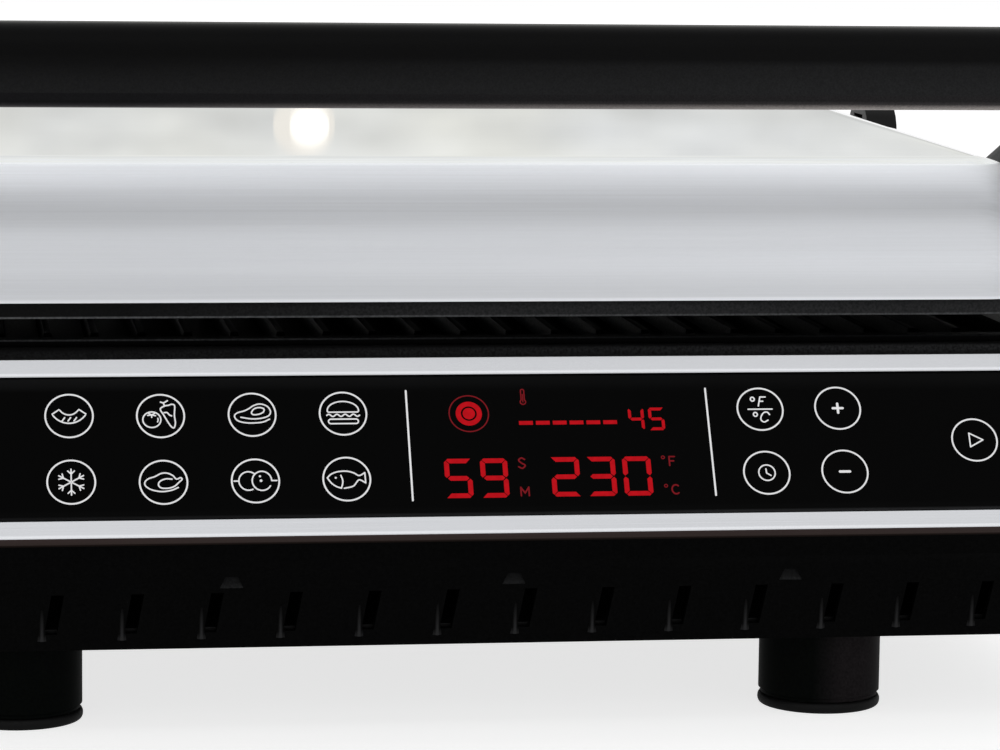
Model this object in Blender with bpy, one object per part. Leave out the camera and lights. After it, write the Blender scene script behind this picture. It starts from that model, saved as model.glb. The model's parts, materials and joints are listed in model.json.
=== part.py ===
"""Countertop contact grill with a hinged, floating lid, as separate pieces at real size.

Metres, +Z up. The origin is on the table under the middle of the grill, and the front faces -Y.
"""

from math import cos, pi, radians, sin, sqrt, tan

import bmesh
import bpy
from mathutils import Matrix, Vector

MM = 0.001

# Fits shared by all pieces
FIT = 0.3 * MM
OVERRUN = 2.0 * MM
SHEET = 0.8 * MM

# Base housing
BASE_WIDTH = 394.0 * MM
BASE_LOW = 23.3 * MM
TOE_Y = -148.0 * MM
BASE_DEPTH = 280.0 * MM
SKIRT_HEIGHT = 23.7 * MM
SKIRT_LEAN = 3.3 * MM
SKIRT_STEP = 0.4 * MM
BASE_WALL = 2.5 * MM
BASE_END_RADIUS = 5.0 * MM
DECK_THICKNESS = 3.0 * MM
PANEL_WALL = 5.0 * MM
RIM_ABOVE_BEZEL = 2.9 * MM
RIM_SETBACK = 0.6 * MM

# Control panel, measured up its slope from the low edge and inwards from its face
PANEL_TILT = radians(33.7)
BEZEL_RISE = 31.5 * MM
BEZEL_OVERHANG = 6.3 * MM
BEZEL_SIDE_INSET = 6.0 * MM
BEZEL_SLANT = 53.6 * MM
BEZEL_STRIP = 5.3 * MM
BEZEL_LIP = 2.3 * MM
BEZEL_LIP_LEAN = 1.3 * MM
BEZEL_END = 6.0 * MM
GLASS_RECESS = 0.2 * MM
GLASS_THICKNESS = 3.4 * MM
GLASS_SEAT = 3.0 * MM
BOARD_THICKNESS = 1.6 * MM
TOUCH_BOARD_MARGIN = 10.0 * MM
DISPLAY_CENTRE_X = 35.0 * MM
DISPLAY_WIDTH = 80.0 * MM
DISPLAY_SLANT = 30.0 * MM
CHIP_SIZE = 12.0 * MM
CHIP_HEIGHT = 1.8 * MM

# Cooling slots, their fins, and the catch windows in the front skirt
VENT_PITCH = 21.4 * MM
VENT_MARGIN = 40.0 * MM
VENT_WIDTH = 3.4 * MM
VENT_HEIGHT = 11.0 * MM
VENT_LEAN = radians(10.0)
VENT_ABOVE_LOW = 4.5 * MM
FIN_ABOVE_LOW = 2.7 * MM
FIN_WIDTH = 2.4 * MM
FIN_TIP = 0.5 * MM
FIN_HEIGHT = 8.8 * MM
FIN_PROUD = 0.8 * MM
FIN_ROOT = 1.2 * MM
FIN_SIDE_SHARE = 0.15
CATCH_PITCH_SHARE = 77.0 / 394.0
CATCH_COUNT = 4
CATCH_OFFSET = -17.7 * MM
CATCH_WIDTH = 6.4 * MM
CATCH_TOP_WIDTH = 3.4 * MM
CATCH_HEIGHT = 3.2 * MM
CATCH_DEPTH = 1.1 * MM
CATCH_FOOT = 0.2 * MM
CATCH_ABOVE_LOW = 16.8 * MM

# Bottom cover, its vents and screws
COVER_INSET = 2.7 * MM
COVER_THICKNESS = 2.5 * MM
COVER_VENT_LENGTH = 46.0 * MM
COVER_VENT_WIDTH = 4.0 * MM
COVER_VENT_PITCH = 11.0 * MM
COVER_VENT_COUNT = 7
COVER_VENT_MARGIN = 5.0 * MM
SCREW_RADIUS = 1.5 * MM
SCREW_HEAD_RADIUS = 3.4 * MM
SCREW_HEAD_HEIGHT = 2.0 * MM
SCREW_CROWN_SHARE = 0.7
SCREW_LENGTH = 14.0 * MM
POST_RADIUS = 4.5 * MM
POST_HEIGHT = 26.0 * MM
POST_INSET = 3.6 * MM
POST_FROM_TOE = 24.0 * MM
POST_FROM_BACK = 22.0 * MM

# Feet
FOOT_SIDE_INSET = 84.5 * MM
FOOT_FROM_TOE = 23.5 * MM
FOOT_FROM_BACK = 32.0 * MM
FOOT_RADIUS = 16.5 * MM
FOOT_GROOVE = 0.6 * MM
PAD_RADIUS = 16.8 * MM
PAD_HEIGHT = 2.9 * MM
PAD_EDGE = 0.9 * MM
SPIGOT_RADIUS = 9.0 * MM
SPIGOT_HEIGHT = 1.8 * MM

# Cooking plates
PLATE_SIDE_INSET = 10.0 * MM
PLATE_SETBACK = 30.5 * MM
PLATE_REAR_INSET = 20.0 * MM
PLATE_CORNER = 9.0 * MM
PLATE_FLANGE = 3.0 * MM
PLATE_FLANGE_THICKNESS = 1.7 * MM
PLATE_BODY = 7.8 * MM
PLATE_FLOOR = 3.0 * MM
PLATE_RIM = 3.0 * MM
PLATE_CHANNEL = 11.0 * MM
RIB_PITCH = 13.0 * MM
RIB_FOOT = 4.4 * MM
RIB_CREST = 2.0 * MM
RIB_HEIGHT = 4.4 * MM
DRAIN_LENGTH = 28.0 * MM
DRAIN_WIDTH = 6.0 * MM

# Heating elements, reflectors and sensors
ELEMENT_RADIUS = 3.2 * MM
ELEMENT_BEND = 20.0 * MM
ELEMENT_OUTER_SHARE = 0.66
ELEMENT_INNER_SHARE = 0.24
ELEMENT_MARGIN = 18.0 * MM
REFLECTOR_SETBACK = 5.5 * MM
REFLECTOR_REAR_GAP = 24.0 * MM
REFLECTOR_CORNER = 10.0 * MM
SENSOR_RADIUS = 5.7 * MM
SENSOR_FLANGE = 8.0 * MM
SENSOR_BODY = 5.0 * MM
BRACKET_THICKNESS = 5.0 * MM
BRACKET_DROP = 20.0 * MM
BRACKET_UNDERLAP = 8.0 * MM
BRACKET_SPREAD = 60.0 * MM

# Power board
POWER_BOARD_WIDTH = 120.0 * MM
POWER_BOARD_DEPTH = 84.0 * MM
POWER_BOARD_AHEAD = 22.0 * MM
STANDOFF_RADIUS = 3.5 * MM
STANDOFF_HEIGHT = 6.0 * MM
STANDOFF_MARGIN = 7.0 * MM
RELAY_LENGTH = 28.0 * MM
RELAY_WIDTH = 12.0 * MM
RELAY_HEIGHT = 15.0 * MM
TRANSFORMER_SIZE = 26.0 * MM
TRANSFORMER_HEIGHT = 20.0 * MM
CAPACITOR_RADIUS = 6.0 * MM
CAPACITOR_HEIGHT = 18.0 * MM

# Plate release latches
LATCH_FROM_TOE = 108.0 * MM
LATCH_TRAVEL = 4.5 * MM
BUTTON_RADIUS = 6.2 * MM
BUTTON_PROUD = 2.4 * MM
BUTTON_FLANGE = 1.6 * MM
BUTTON_FLANGE_THICKNESS = 1.8 * MM
LATCH_SPRING_LENGTH = 13.0 * MM
LATCH_GUIDE_THICKNESS = 2.5 * MM
LATCH_GUIDE_HALF = 8.5 * MM
LATCH_STEM_HALF = 2.4 * MM
LATCH_BAR = 3.6 * MM
LATCH_HEAD_LENGTH = 3.4 * MM
LATCH_HEAD_HALF = 8.0 * MM
LUG_THICKNESS = 3.0 * MM
LUG_SPACE = 1.8 * MM
LUG_DROP = 4.0 * MM
LUG_LEDGE = 2.2 * MM
SPRING_RADIUS = 4.6 * MM
SPRING_WIRE = 0.4 * MM
SPRING_TURNS = 5

# Drip tray at the rear
TRAY_HALF_WIDTH = 68.0 * MM
TRAY_DEPTH = 73.0 * MM
TRAY_HEIGHT = 20.0 * MM
TRAY_WALL = 1.6 * MM
TRAY_BELOW_REFLECTOR = 2.6 * MM
TRAY_FLANGE = 4.0 * MM
TRAY_FACE_MARGIN = 3.5 * MM
TRAY_FACE_THICKNESS = 2.4 * MM
TRAY_PULL = 8.0 * MM
TRAY_PULL_HEIGHT = 3.0 * MM
TRAY_PULL_HALF = 30.0 * MM
TRAY_CORNER = 6.0 * MM
RAIL_WIDTH = 11.0 * MM
RAIL_HEIGHT = 7.5 * MM

# Cord gland and probe jack
GLAND_SIDE_INSET = 52.0 * MM
GLAND_Z = 46.0 * MM
GLAND_BORE = 3.7 * MM
GLAND_BODY = 6.6 * MM
GLAND_FLANGE = 9.5 * MM
GLAND_FLANGE_THICKNESS = 2.4 * MM
GLAND_LENGTH = 12.0 * MM
JACK_BEHIND_LATCH = 42.0 * MM
JACK_Z = 62.0 * MM
JACK_BORE = 1.75 * MM
JACK_BODY = 4.6 * MM
JACK_FLANGE = 6.6 * MM
JACK_FLANGE_THICKNESS = 1.5 * MM
JACK_LENGTH = 13.0 * MM

# Lid
LID_SIDE_INSET = 12.0 * MM
LID_SETBACK = 20.0 * MM
LID_REAR_OVERHANG = 2.0 * MM
LID_GAP = 6.3 * MM
LID_RIM = 4.5 * MM
LID_FACE = 12.9 * MM
LID_DRAFT = 1.0 * MM
LID_BEND = 25.0 * MM
LID_CORNER = 30.0 * MM
LID_WALL = 1.2 * MM
DECK_RISE = radians(0.8)
FRAME_UPSTAND = 9.0 * MM
STOP_WIDTH = 4.0 * MM
STOP_LENGTH = 10.0 * MM
STOP_FROM_FRONT = 36.0 * MM
UPPER_REFLECTOR_GAP = 6.0 * MM

# Hinge
HINGE_BEHIND_LID = 10.0 * MM
HINGE_ABOVE_RIM = 2.9 * MM
HINGE_FLOAT = 25.0 * MM
SHAFT_RADIUS = 4.0 * MM
EYE_RADIUS = 9.0 * MM
EYE_TANGENT_SHARE = 0.9
EYE_SIDE_INSET = 32.0 * MM
EYE_WIDTH = 14.0 * MM
HINGE_PLATE_HEIGHT = 15.0 * MM
HINGE_PLATE_THICKNESS = 3.6 * MM
SLIDER_HALF_WIDTH = 5.5 * MM
SLIDER_HALF_HEIGHT = 7.5 * MM
TOWER_THICKNESS = 10.6 * MM
TOWER_LID_GAP = 0.9 * MM
TOWER_SKIN = 2.4 * MM
TOWER_WALL = 8.5 * MM
TOWER_FRONT = 34.0 * MM
TOWER_DROP = 46.0 * MM
TOWER_ROUND = 10.0 * MM

# Handle
HANDLE_ABOVE_DECK = 16.6 * MM
HANDLE_HEIGHT = 22.4 * MM
HANDLE_DEPTH = 21.0 * MM
HANDLE_AHEAD = 30.0 * MM
HANDLE_ROUND = 6.0 * MM
ARM_THICKNESS = 13.0 * MM
ARM_LID_GAP = 1.7 * MM
ARM_END_RADIUS = 10.5 * MM
ARM_MOUNT_BEHIND_LATCH = 50.0 * MM
ARM_MOUNT_ABOVE = 12.5 * MM
ARM_BOSS_RADIUS = 7.5 * MM
ARM_BEVEL = 1.5 * MM
BOLT_RADIUS = 2.2 * MM
BOLT_HEAD_RADIUS = 4.4 * MM
BOLT_HEAD_HEIGHT = 2.6 * MM
BOLT_LENGTH = 20.0 * MM

# Counts that set how fine the round forms are
ROUND_STEPS = 20
PIN_STEPS = 12
BOSS_STEPS = 16
SPRING_STEPS = 8
BEVEL_STEPS = 2
CORNER_STEPS = 5
BEND_STEPS = 9
SMALL_CORNER_STEPS = 3

# Places worked out from the sizes above
HALF_WIDTH = BASE_WIDTH / 2
BACK_Y = TOE_Y + BASE_DEPTH
BEZEL_WIDTH = BASE_WIDTH - 2 * BEZEL_SIDE_INSET
FOOT_X = HALF_WIDTH - FOOT_SIDE_INSET
GLAND_X = GLAND_SIDE_INSET - HALF_WIDTH
LID_HALF_WIDTH = HALF_WIDTH - LID_SIDE_INSET
LID_DEPTH = BASE_DEPTH - LID_SETBACK + LID_REAR_OVERHANG
PLATE_HALF_WIDTH = LID_HALF_WIDTH - PLATE_SIDE_INSET
PLATE_DEPTH = BASE_DEPTH - PLATE_SETBACK - PLATE_REAR_INSET
POWER_BOARD_Y = TOE_Y + BASE_DEPTH / 2 - POWER_BOARD_AHEAD
EYE_X = LID_HALF_WIDTH - EYE_SIDE_INSET
ELEMENT_OUTER_X = PLATE_HALF_WIDTH * ELEMENT_OUTER_SHARE
ELEMENT_INNER_X = PLATE_HALF_WIDTH * ELEMENT_INNER_SHARE
STEP_Z = BASE_LOW + SKIRT_HEIGHT
STEP_Y = TOE_Y - SKIRT_LEAN
BEZEL_LOW_Y = TOE_Y - BEZEL_OVERHANG
BEZEL_LOW_Z = BASE_LOW + BEZEL_RISE
BEZEL_TOP_Z = BEZEL_LOW_Z + BEZEL_SLANT * cos(PANEL_TILT)
BASE_TOP = BEZEL_TOP_Z + RIM_ABOVE_BEZEL
WALL_INNER_X = HALF_WIDTH - BASE_WALL
SEAT_DEPTH = SHEET + FIT
PANEL_BACK = SEAT_DEPTH + PANEL_WALL
PLATE_FRONT_Y = TOE_Y + PLATE_SETBACK
PLATE_REAR_Y = PLATE_FRONT_Y + PLATE_DEPTH
LOWER_PLATE_TOP = BASE_TOP + FIT + PLATE_FLANGE_THICKNESS
LOWER_PLATE_LOW = LOWER_PLATE_TOP - PLATE_BODY
FRAME_LOW = LOWER_PLATE_TOP + LID_GAP
SHELL_LOW = FRAME_LOW + LID_RIM
UPPER_PLATE_LOW = FRAME_LOW + FIT
UPPER_PLATE_TOP = UPPER_PLATE_LOW + PLATE_BODY
LID_FRONT_Y = TOE_Y + LID_SETBACK
LID_REAR_Y = LID_FRONT_Y + LID_DEPTH
BEND_Z = SHELL_LOW + LID_FACE
DECK_Z = BEND_Z + LID_BEND
HINGE_Y = LID_REAR_Y + HINGE_BEHIND_LID
HINGE_Z = SHELL_LOW + HINGE_ABOVE_RIM
TOWER_INNER_X = LID_HALF_WIDTH + TOWER_LID_GAP
HANDLE_FRONT_Y = LID_FRONT_Y - HANDLE_AHEAD
HANDLE_LOW = DECK_Z + HANDLE_ABOVE_DECK
ARM_INNER_X = LID_HALF_WIDTH + ARM_LID_GAP
COVER_LOW = BASE_LOW + COVER_INSET
COVER_TOP = COVER_LOW + COVER_THICKNESS
ELEMENT_ROOM = 2 * ELEMENT_RADIUS + 2 * FIT
REFLECTOR_REAR_Y = PLATE_REAR_Y - REFLECTOR_REAR_GAP
LATCH_Y = TOE_Y + LATCH_FROM_TOE
JACK_Y = LATCH_Y + JACK_BEHIND_LATCH
LATCH_REACH = (
    FIT + BUTTON_FLANGE_THICKNESS + LATCH_SPRING_LENGTH + 2 * FIT + LATCH_GUIDE_THICKNESS
    + LUG_SPACE + LUG_THICKNESS + FIT + LATCH_HEAD_LENGTH
)

MATERIALS = {
    "black_plastic": ((0.012, 0.012, 0.013), 0.42, 0.0),
    "satin_black": ((0.018, 0.018, 0.019), 0.35, 0.0),
    "brushed_steel": ((0.62, 0.62, 0.64), 0.28, 1.0),
    "bright_steel": ((0.70, 0.70, 0.70), 0.18, 1.0),
    "black_glass": ((0.004, 0.004, 0.005), 0.06, 0.0),
    "cast_plate": ((0.022, 0.022, 0.023), 0.50, 0.3),
    "circuit_board": ((0.02, 0.12, 0.05), 0.50, 0.0),
    "display_red": ((0.35, 0.01, 0.015), 0.30, 0.0),
    "rubber": ((0.010, 0.010, 0.010), 0.75, 0.0),
    "element_alloy": ((0.18, 0.16, 0.15), 0.45, 1.0),
    "aluminised_steel": ((0.55, 0.56, 0.57), 0.38, 1.0),
    "sensor_brass": ((0.60, 0.45, 0.20), 0.35, 1.0),
}


def clear_scene():
    """Remove whatever objects the open file holds."""
    for item in list(bpy.data.objects):
        bpy.data.objects.remove(item, do_unlink=True)


def material(name):
    """Return the named finish, made on its first use."""
    found = bpy.data.materials.get(name)
    if found:
        return found
    colour, roughness, metallic = MATERIALS[name]
    made = bpy.data.materials.new(name)
    made.use_nodes = True
    shader = made.node_tree.nodes["Principled BSDF"]
    shader.inputs["Base Color"].default_value = (*colour, 1.0)
    shader.inputs["Roughness"].default_value = roughness
    shader.inputs["Metallic"].default_value = metallic
    return made


def empty(name, place):
    """Return an empty that marks a joint's axis or slide."""
    marker = bpy.data.objects.new(name, None)
    marker.location = place
    bpy.context.collection.objects.link(marker)
    return marker


def as_object(name, bm):
    """Turn a bmesh into a linked object whose faces point outwards."""
    bmesh.ops.recalc_face_normals(bm, faces=bm.faces)
    mesh = bpy.data.meshes.new(name)
    bm.to_mesh(mesh)
    bm.free()
    made = bpy.data.objects.new(name, mesh)
    bpy.context.collection.objects.link(made)
    return made


def prism(name, outline, low, high, axis="Z", end_radius=0.0):
    """Extrude a closed outline along an axis.

    An outline across X holds (y, z) points, across Y (x, z) points, and across Z (x, y) points.
    With an end radius, the edges round both ends are rolled over.
    """
    place = {
        "X": lambda a, b: (low, a, b),
        "Y": lambda a, b: (a, low, b),
        "Z": lambda a, b: (a, b, low),
    }[axis]
    step = {"X": (high - low, 0, 0), "Y": (0, high - low, 0), "Z": (0, 0, high - low)}[axis]
    bm = bmesh.new()
    first = bm.faces.new([bm.verts.new(place(a, b)) for a, b in outline])
    grown = bmesh.ops.extrude_face_region(bm, geom=[first])
    verts = [g for g in grown["geom"] if isinstance(g, bmesh.types.BMVert)]
    bmesh.ops.translate(bm, verts=verts, vec=step)
    bmesh.ops.recalc_face_normals(bm, faces=bm.faces)
    if end_radius:
        ends = [f for f in bm.faces if len(f.verts) == len(outline) and f.calc_area() > 0]
        ends = [f for f in ends if abs(f.normal.dot(Vector(step).normalized())) > cos(radians(1))]
        edges = list({e for f in ends for e in f.edges})
        bmesh.ops.bevel(bm, geom=edges, offset=end_radius, segments=BEVEL_STEPS, profile=0.5, affect="EDGES")
    return as_object(name, bm)


def block(name, x, y, z):
    """Return a box from its three (low, high) pairs."""
    outline = [(x[0], y[0]), (x[1], y[0]), (x[1], y[1]), (x[0], y[1])]
    return prism(name, outline, z[0], z[1])


def rounded_outline(low, high, radius, steps=CORNER_STEPS):
    """Return the points of a rectangle with round corners, counter-clockwise."""
    corners = [(high[0], high[1], 0), (low[0], high[1], 1), (low[0], low[1], 2), (high[0], low[1], 3)]
    points = []
    for x, y, quarter in corners:
        centre_x = x - radius if x == high[0] else x + radius
        centre_y = y - radius if y == high[1] else y + radius
        for i in range(steps + 1):
            turn = (quarter + i / steps) * pi / 2
            points.append((centre_x + radius * cos(turn), centre_y + radius * sin(turn)))
    return points


def revolve(name, profile, centre, axis="Z", steps=ROUND_STEPS):
    """Turn a profile of (radius, distance) points round an axis through a centre.

    The profile starts and ends on the axis, or else closes on itself.
    """
    bm = bmesh.new()
    verts = [bm.verts.new((r, 0, h)) for r, h in profile]
    pairs = list(zip(verts, verts[1:]))
    if profile[0][0] > 0:
        pairs.append((verts[-1], verts[0]))
    edges = [bm.edges.new(p) for p in pairs]
    bmesh.ops.spin(
        bm, geom=verts + edges, cent=(0, 0, 0), axis=(0, 0, 1), angle=2 * pi, steps=steps, use_merge=True
    )
    bmesh.ops.remove_doubles(bm, verts=bm.verts, dist=FIT / 1000)
    turns = {
        "Z": Matrix.Identity(4),
        "X": Matrix.Rotation(pi / 2, 4, "Y"),
        "Y": Matrix.Rotation(-pi / 2, 4, "X"),
    }
    bmesh.ops.transform(bm, matrix=Matrix.Translation(centre) @ turns[axis], verts=bm.verts)
    return as_object(name, bm)


def cylinder(name, radius, low, high, centre, axis="Z", steps=ROUND_STEPS):
    """Return a plain round pin between two distances along an axis."""
    return revolve(name, [(0, low), (radius, low), (radius, high), (0, high)], centre, axis, steps)


def combine(body, others, operation):
    """Join others to a body, or cut them from it, and drop them."""
    for other in others:
        change = body.modifiers.new(other.name, "BOOLEAN")
        change.operation = operation
        change.object = other
        change.solver = "EXACT"
        bpy.context.view_layer.update()
        depsgraph = bpy.context.evaluated_depsgraph_get()
        mesh = bpy.data.meshes.new_from_object(body.evaluated_get(depsgraph))
        body.modifiers.clear()
        body.data = mesh
        bpy.data.objects.remove(other, do_unlink=True)
    return body


def join(body, *others):
    """Fuse others into a body."""
    return combine(body, others, "UNION")


def cut(body, *others):
    """Cut others from a body."""
    return combine(body, others, "DIFFERENCE")


def finish(made, finish_name, carrier, smooth=True):
    """Give a piece its finish, shade it, and hang it on the empty that carries it."""
    made.data.materials.clear()
    made.data.materials.append(material(finish_name))
    if made.type == "MESH":
        made.data.transform(Matrix.Translation(-carrier.location))
        if smooth:
            made.data.shade_smooth()
            made.data.set_sharp_from_angle(angle=radians(32))
    else:
        for spline in made.data.splines:
            for point in spline.points:
                point.co = (*(Vector(point.co[:3]) - carrier.location), 1.0)
    made.parent = carrier
    return made


def tube(name, points, radius, fineness=2):
    """Return a round bar with closed ends along a list of points."""
    curve = bpy.data.curves.new(name, "CURVE")
    curve.dimensions = "3D"
    curve.bevel_depth = radius
    curve.bevel_resolution = fineness
    curve.use_fill_caps = True
    spline = curve.splines.new("POLY")
    spline.points.add(len(points) - 1)
    for point, place in zip(spline.points, points):
        point.co = (*place, 1.0)
    made = bpy.data.objects.new(name, curve)
    bpy.context.collection.objects.link(made)
    return made


def panel_point(up, inwards):
    """Return (y, z) of a place on the control panel: up its slope, and inwards from its face."""
    y = BEZEL_LOW_Y + up * sin(PANEL_TILT) + inwards * cos(PANEL_TILT)
    z = BEZEL_LOW_Z + up * cos(PANEL_TILT) - inwards * sin(PANEL_TILT)
    return y, z


def panel_block(name, half_width, up, inwards, centre_x=0.0):
    """Return a box that lies in the control panel's slope."""
    outline = [
        panel_point(up[0], inwards[0]),
        panel_point(up[1], inwards[0]),
        panel_point(up[1], inwards[1]),
        panel_point(up[0], inwards[1]),
    ]
    return prism(name, outline, centre_x - half_width, centre_x + half_width, "X")


def screw(name, x, y, head_z):
    """Return a pan-head screw that points up, with its head resting at a height."""
    profile = [
        (0, -SCREW_HEAD_HEIGHT),
        (SCREW_HEAD_RADIUS * SCREW_CROWN_SHARE, -SCREW_HEAD_HEIGHT),
        (SCREW_HEAD_RADIUS, -SCREW_HEAD_HEIGHT / 2),
        (SCREW_HEAD_RADIUS, 0),
        (SCREW_RADIUS, 0),
        (SCREW_RADIUS, SCREW_LENGTH - SCREW_RADIUS),
        (0, SCREW_LENGTH),
    ]
    return revolve(name, profile, (x, y, head_z), steps=PIN_STEPS)


def base_outline():
    """Return the housing's side view, from the toe up the front, over the deck and down the back."""
    front_top = panel_point(BEZEL_SLANT + RIM_SETBACK, SEAT_DEPTH)
    return [
        (TOE_Y, BASE_LOW),
        (STEP_Y, STEP_Z),
        (STEP_Y - SKIRT_STEP, STEP_Z),
        (STEP_Y - SKIRT_STEP, BEZEL_LOW_Z - RIM_SETBACK),
        panel_point(2 * SHEET, SEAT_DEPTH),
        front_top,
        (front_top[0] + RIM_SETBACK, BASE_TOP),
        (BACK_Y, BASE_TOP),
        (BACK_Y, BASE_LOW),
    ]


def base_cavity():
    """Return the space inside the housing, open at the bottom and closed by the deck on top."""
    wall = BASE_WALL
    outline = [
        (TOE_Y + wall, BASE_LOW - OVERRUN),
        (TOE_Y + wall, BASE_LOW),
        (STEP_Y + wall, STEP_Z),
        (STEP_Y + wall, BEZEL_LOW_Z - PANEL_WALL),
        panel_point(PANEL_WALL, PANEL_BACK),
        panel_point(BEZEL_SLANT - DECK_THICKNESS, PANEL_BACK),
        (panel_point(BEZEL_SLANT - DECK_THICKNESS, PANEL_BACK)[0], BASE_TOP - DECK_THICKNESS),
        (BACK_Y - wall, BASE_TOP - DECK_THICKNESS),
        (BACK_Y - wall, BASE_LOW - OVERRUN),
    ]
    return prism("cavity", outline, -WALL_INNER_X, WALL_INNER_X, "X")


def vent_places():
    """Return the x of each cooling slot: as many as the width holds, spread evenly about the middle."""
    spaces = int((BASE_WIDTH - 2 * VENT_MARGIN) / VENT_PITCH)
    return [(i - spaces / 2) * VENT_PITCH for i in range(spaces + 1)]


def skirt_y(z):
    """Return the y of the skirt's front face at a height."""
    return TOE_Y - SKIRT_LEAN * (z - BASE_LOW) / SKIRT_HEIGHT


def vent_cutter(x):
    """Return the cutter of one leaning cooling slot, to the right of its fin."""
    low = BASE_LOW + VENT_ABOVE_LOW
    lean = VENT_HEIGHT * tan(VENT_LEAN)
    left = x + FIN_WIDTH / 4
    outline = [
        (left, low),
        (left + VENT_WIDTH, low),
        (left + VENT_WIDTH + lean, low + VENT_HEIGHT),
        (left + lean, low + VENT_HEIGHT),
    ]
    return prism("vent", outline, STEP_Y - OVERRUN, TOE_Y + BASE_WALL + OVERRUN, "Y")


def fin(x):
    """Return one tapered fin that stands on the skirt beside its slot, widest and deepest at its foot."""
    low = BASE_LOW + FIN_ABOVE_LOW
    high = low + FIN_HEIGHT
    bm = bmesh.new()
    rings = []
    for z, width, proud in ((low, FIN_WIDTH, FIN_PROUD), (high, FIN_TIP, FIN_PROUD / 4)):
        face = skirt_y(z) - proud * FIN_SIDE_SHARE
        left, right = x - width / 2, x + width / 2
        rings.append([
            bm.verts.new(p)
            for p in (
                (left, face + FIN_ROOT, z), (left, face, z), (x, skirt_y(z) - proud, z),
                (right, face, z), (right, face + FIN_ROOT, z),
            )
        ])
    bm.faces.new(rings[0])
    bm.faces.new(rings[1][::-1])
    for i in range(len(rings[0])):
        j = (i + 1) % len(rings[0])
        bm.faces.new((rings[0][i], rings[0][j], rings[1][j], rings[1][i]))
    return as_object("fin", bm)


def catch_cutter(x):
    """Return the wedge that cuts one catch window: narrow and deep at its top, running out at its foot."""
    low = BASE_LOW + CATCH_ABOVE_LOW
    high = low + CATCH_HEIGHT
    bm = bmesh.new()
    rings = []
    for z, width, depth in ((low, CATCH_WIDTH, CATCH_FOOT), (high, CATCH_TOP_WIDTH, CATCH_DEPTH)):
        rings.append([
            bm.verts.new((x + side * width / 2, skirt_y(z) + reach, z))
            for side, reach in ((-1, -OVERRUN), (1, -OVERRUN), (1, depth), (-1, depth))
        ])
    bm.faces.new(rings[0])
    bm.faces.new(rings[1][::-1])
    for i in range(len(rings[0])):
        j = (i + 1) % len(rings[0])
        bm.faces.new((rings[0][i], rings[0][j], rings[1][j], rings[1][i]))
    return as_object("catch", bm)


def post_places():
    """Return the (x, y) of the four screw posts, each against a side wall."""
    x = WALL_INNER_X - POST_INSET
    return [
        (side * x, y)
        for side in (-1, 1)
        for y in (TOE_Y + POST_FROM_TOE, BACK_Y - POST_FROM_BACK)
    ]


def bracket(side, y):
    """Return one gusset that carries the lower reflector from a side wall."""
    top = LOWER_PLATE_LOW - ELEMENT_ROOM - SHEET - FIT
    reach = reflector_half(WALL_INNER_X) - BRACKET_UNDERLAP
    outline = [
        (side * (WALL_INNER_X + BASE_WALL / 2), top),
        (side * reach, top),
        (side * reach, top - BRACKET_THICKNESS / 2),
        (side * (WALL_INNER_X + BASE_WALL / 2), top - BRACKET_DROP),
    ]
    return prism("bracket", outline, y - BRACKET_THICKNESS / 2, y + BRACKET_THICKNESS / 2, "Y")


def reflector_half(wall_x):
    """Return a reflector's half width, which clears the latch when it is pressed."""
    return wall_x - LATCH_REACH - LATCH_TRAVEL - 4 * FIT


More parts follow.
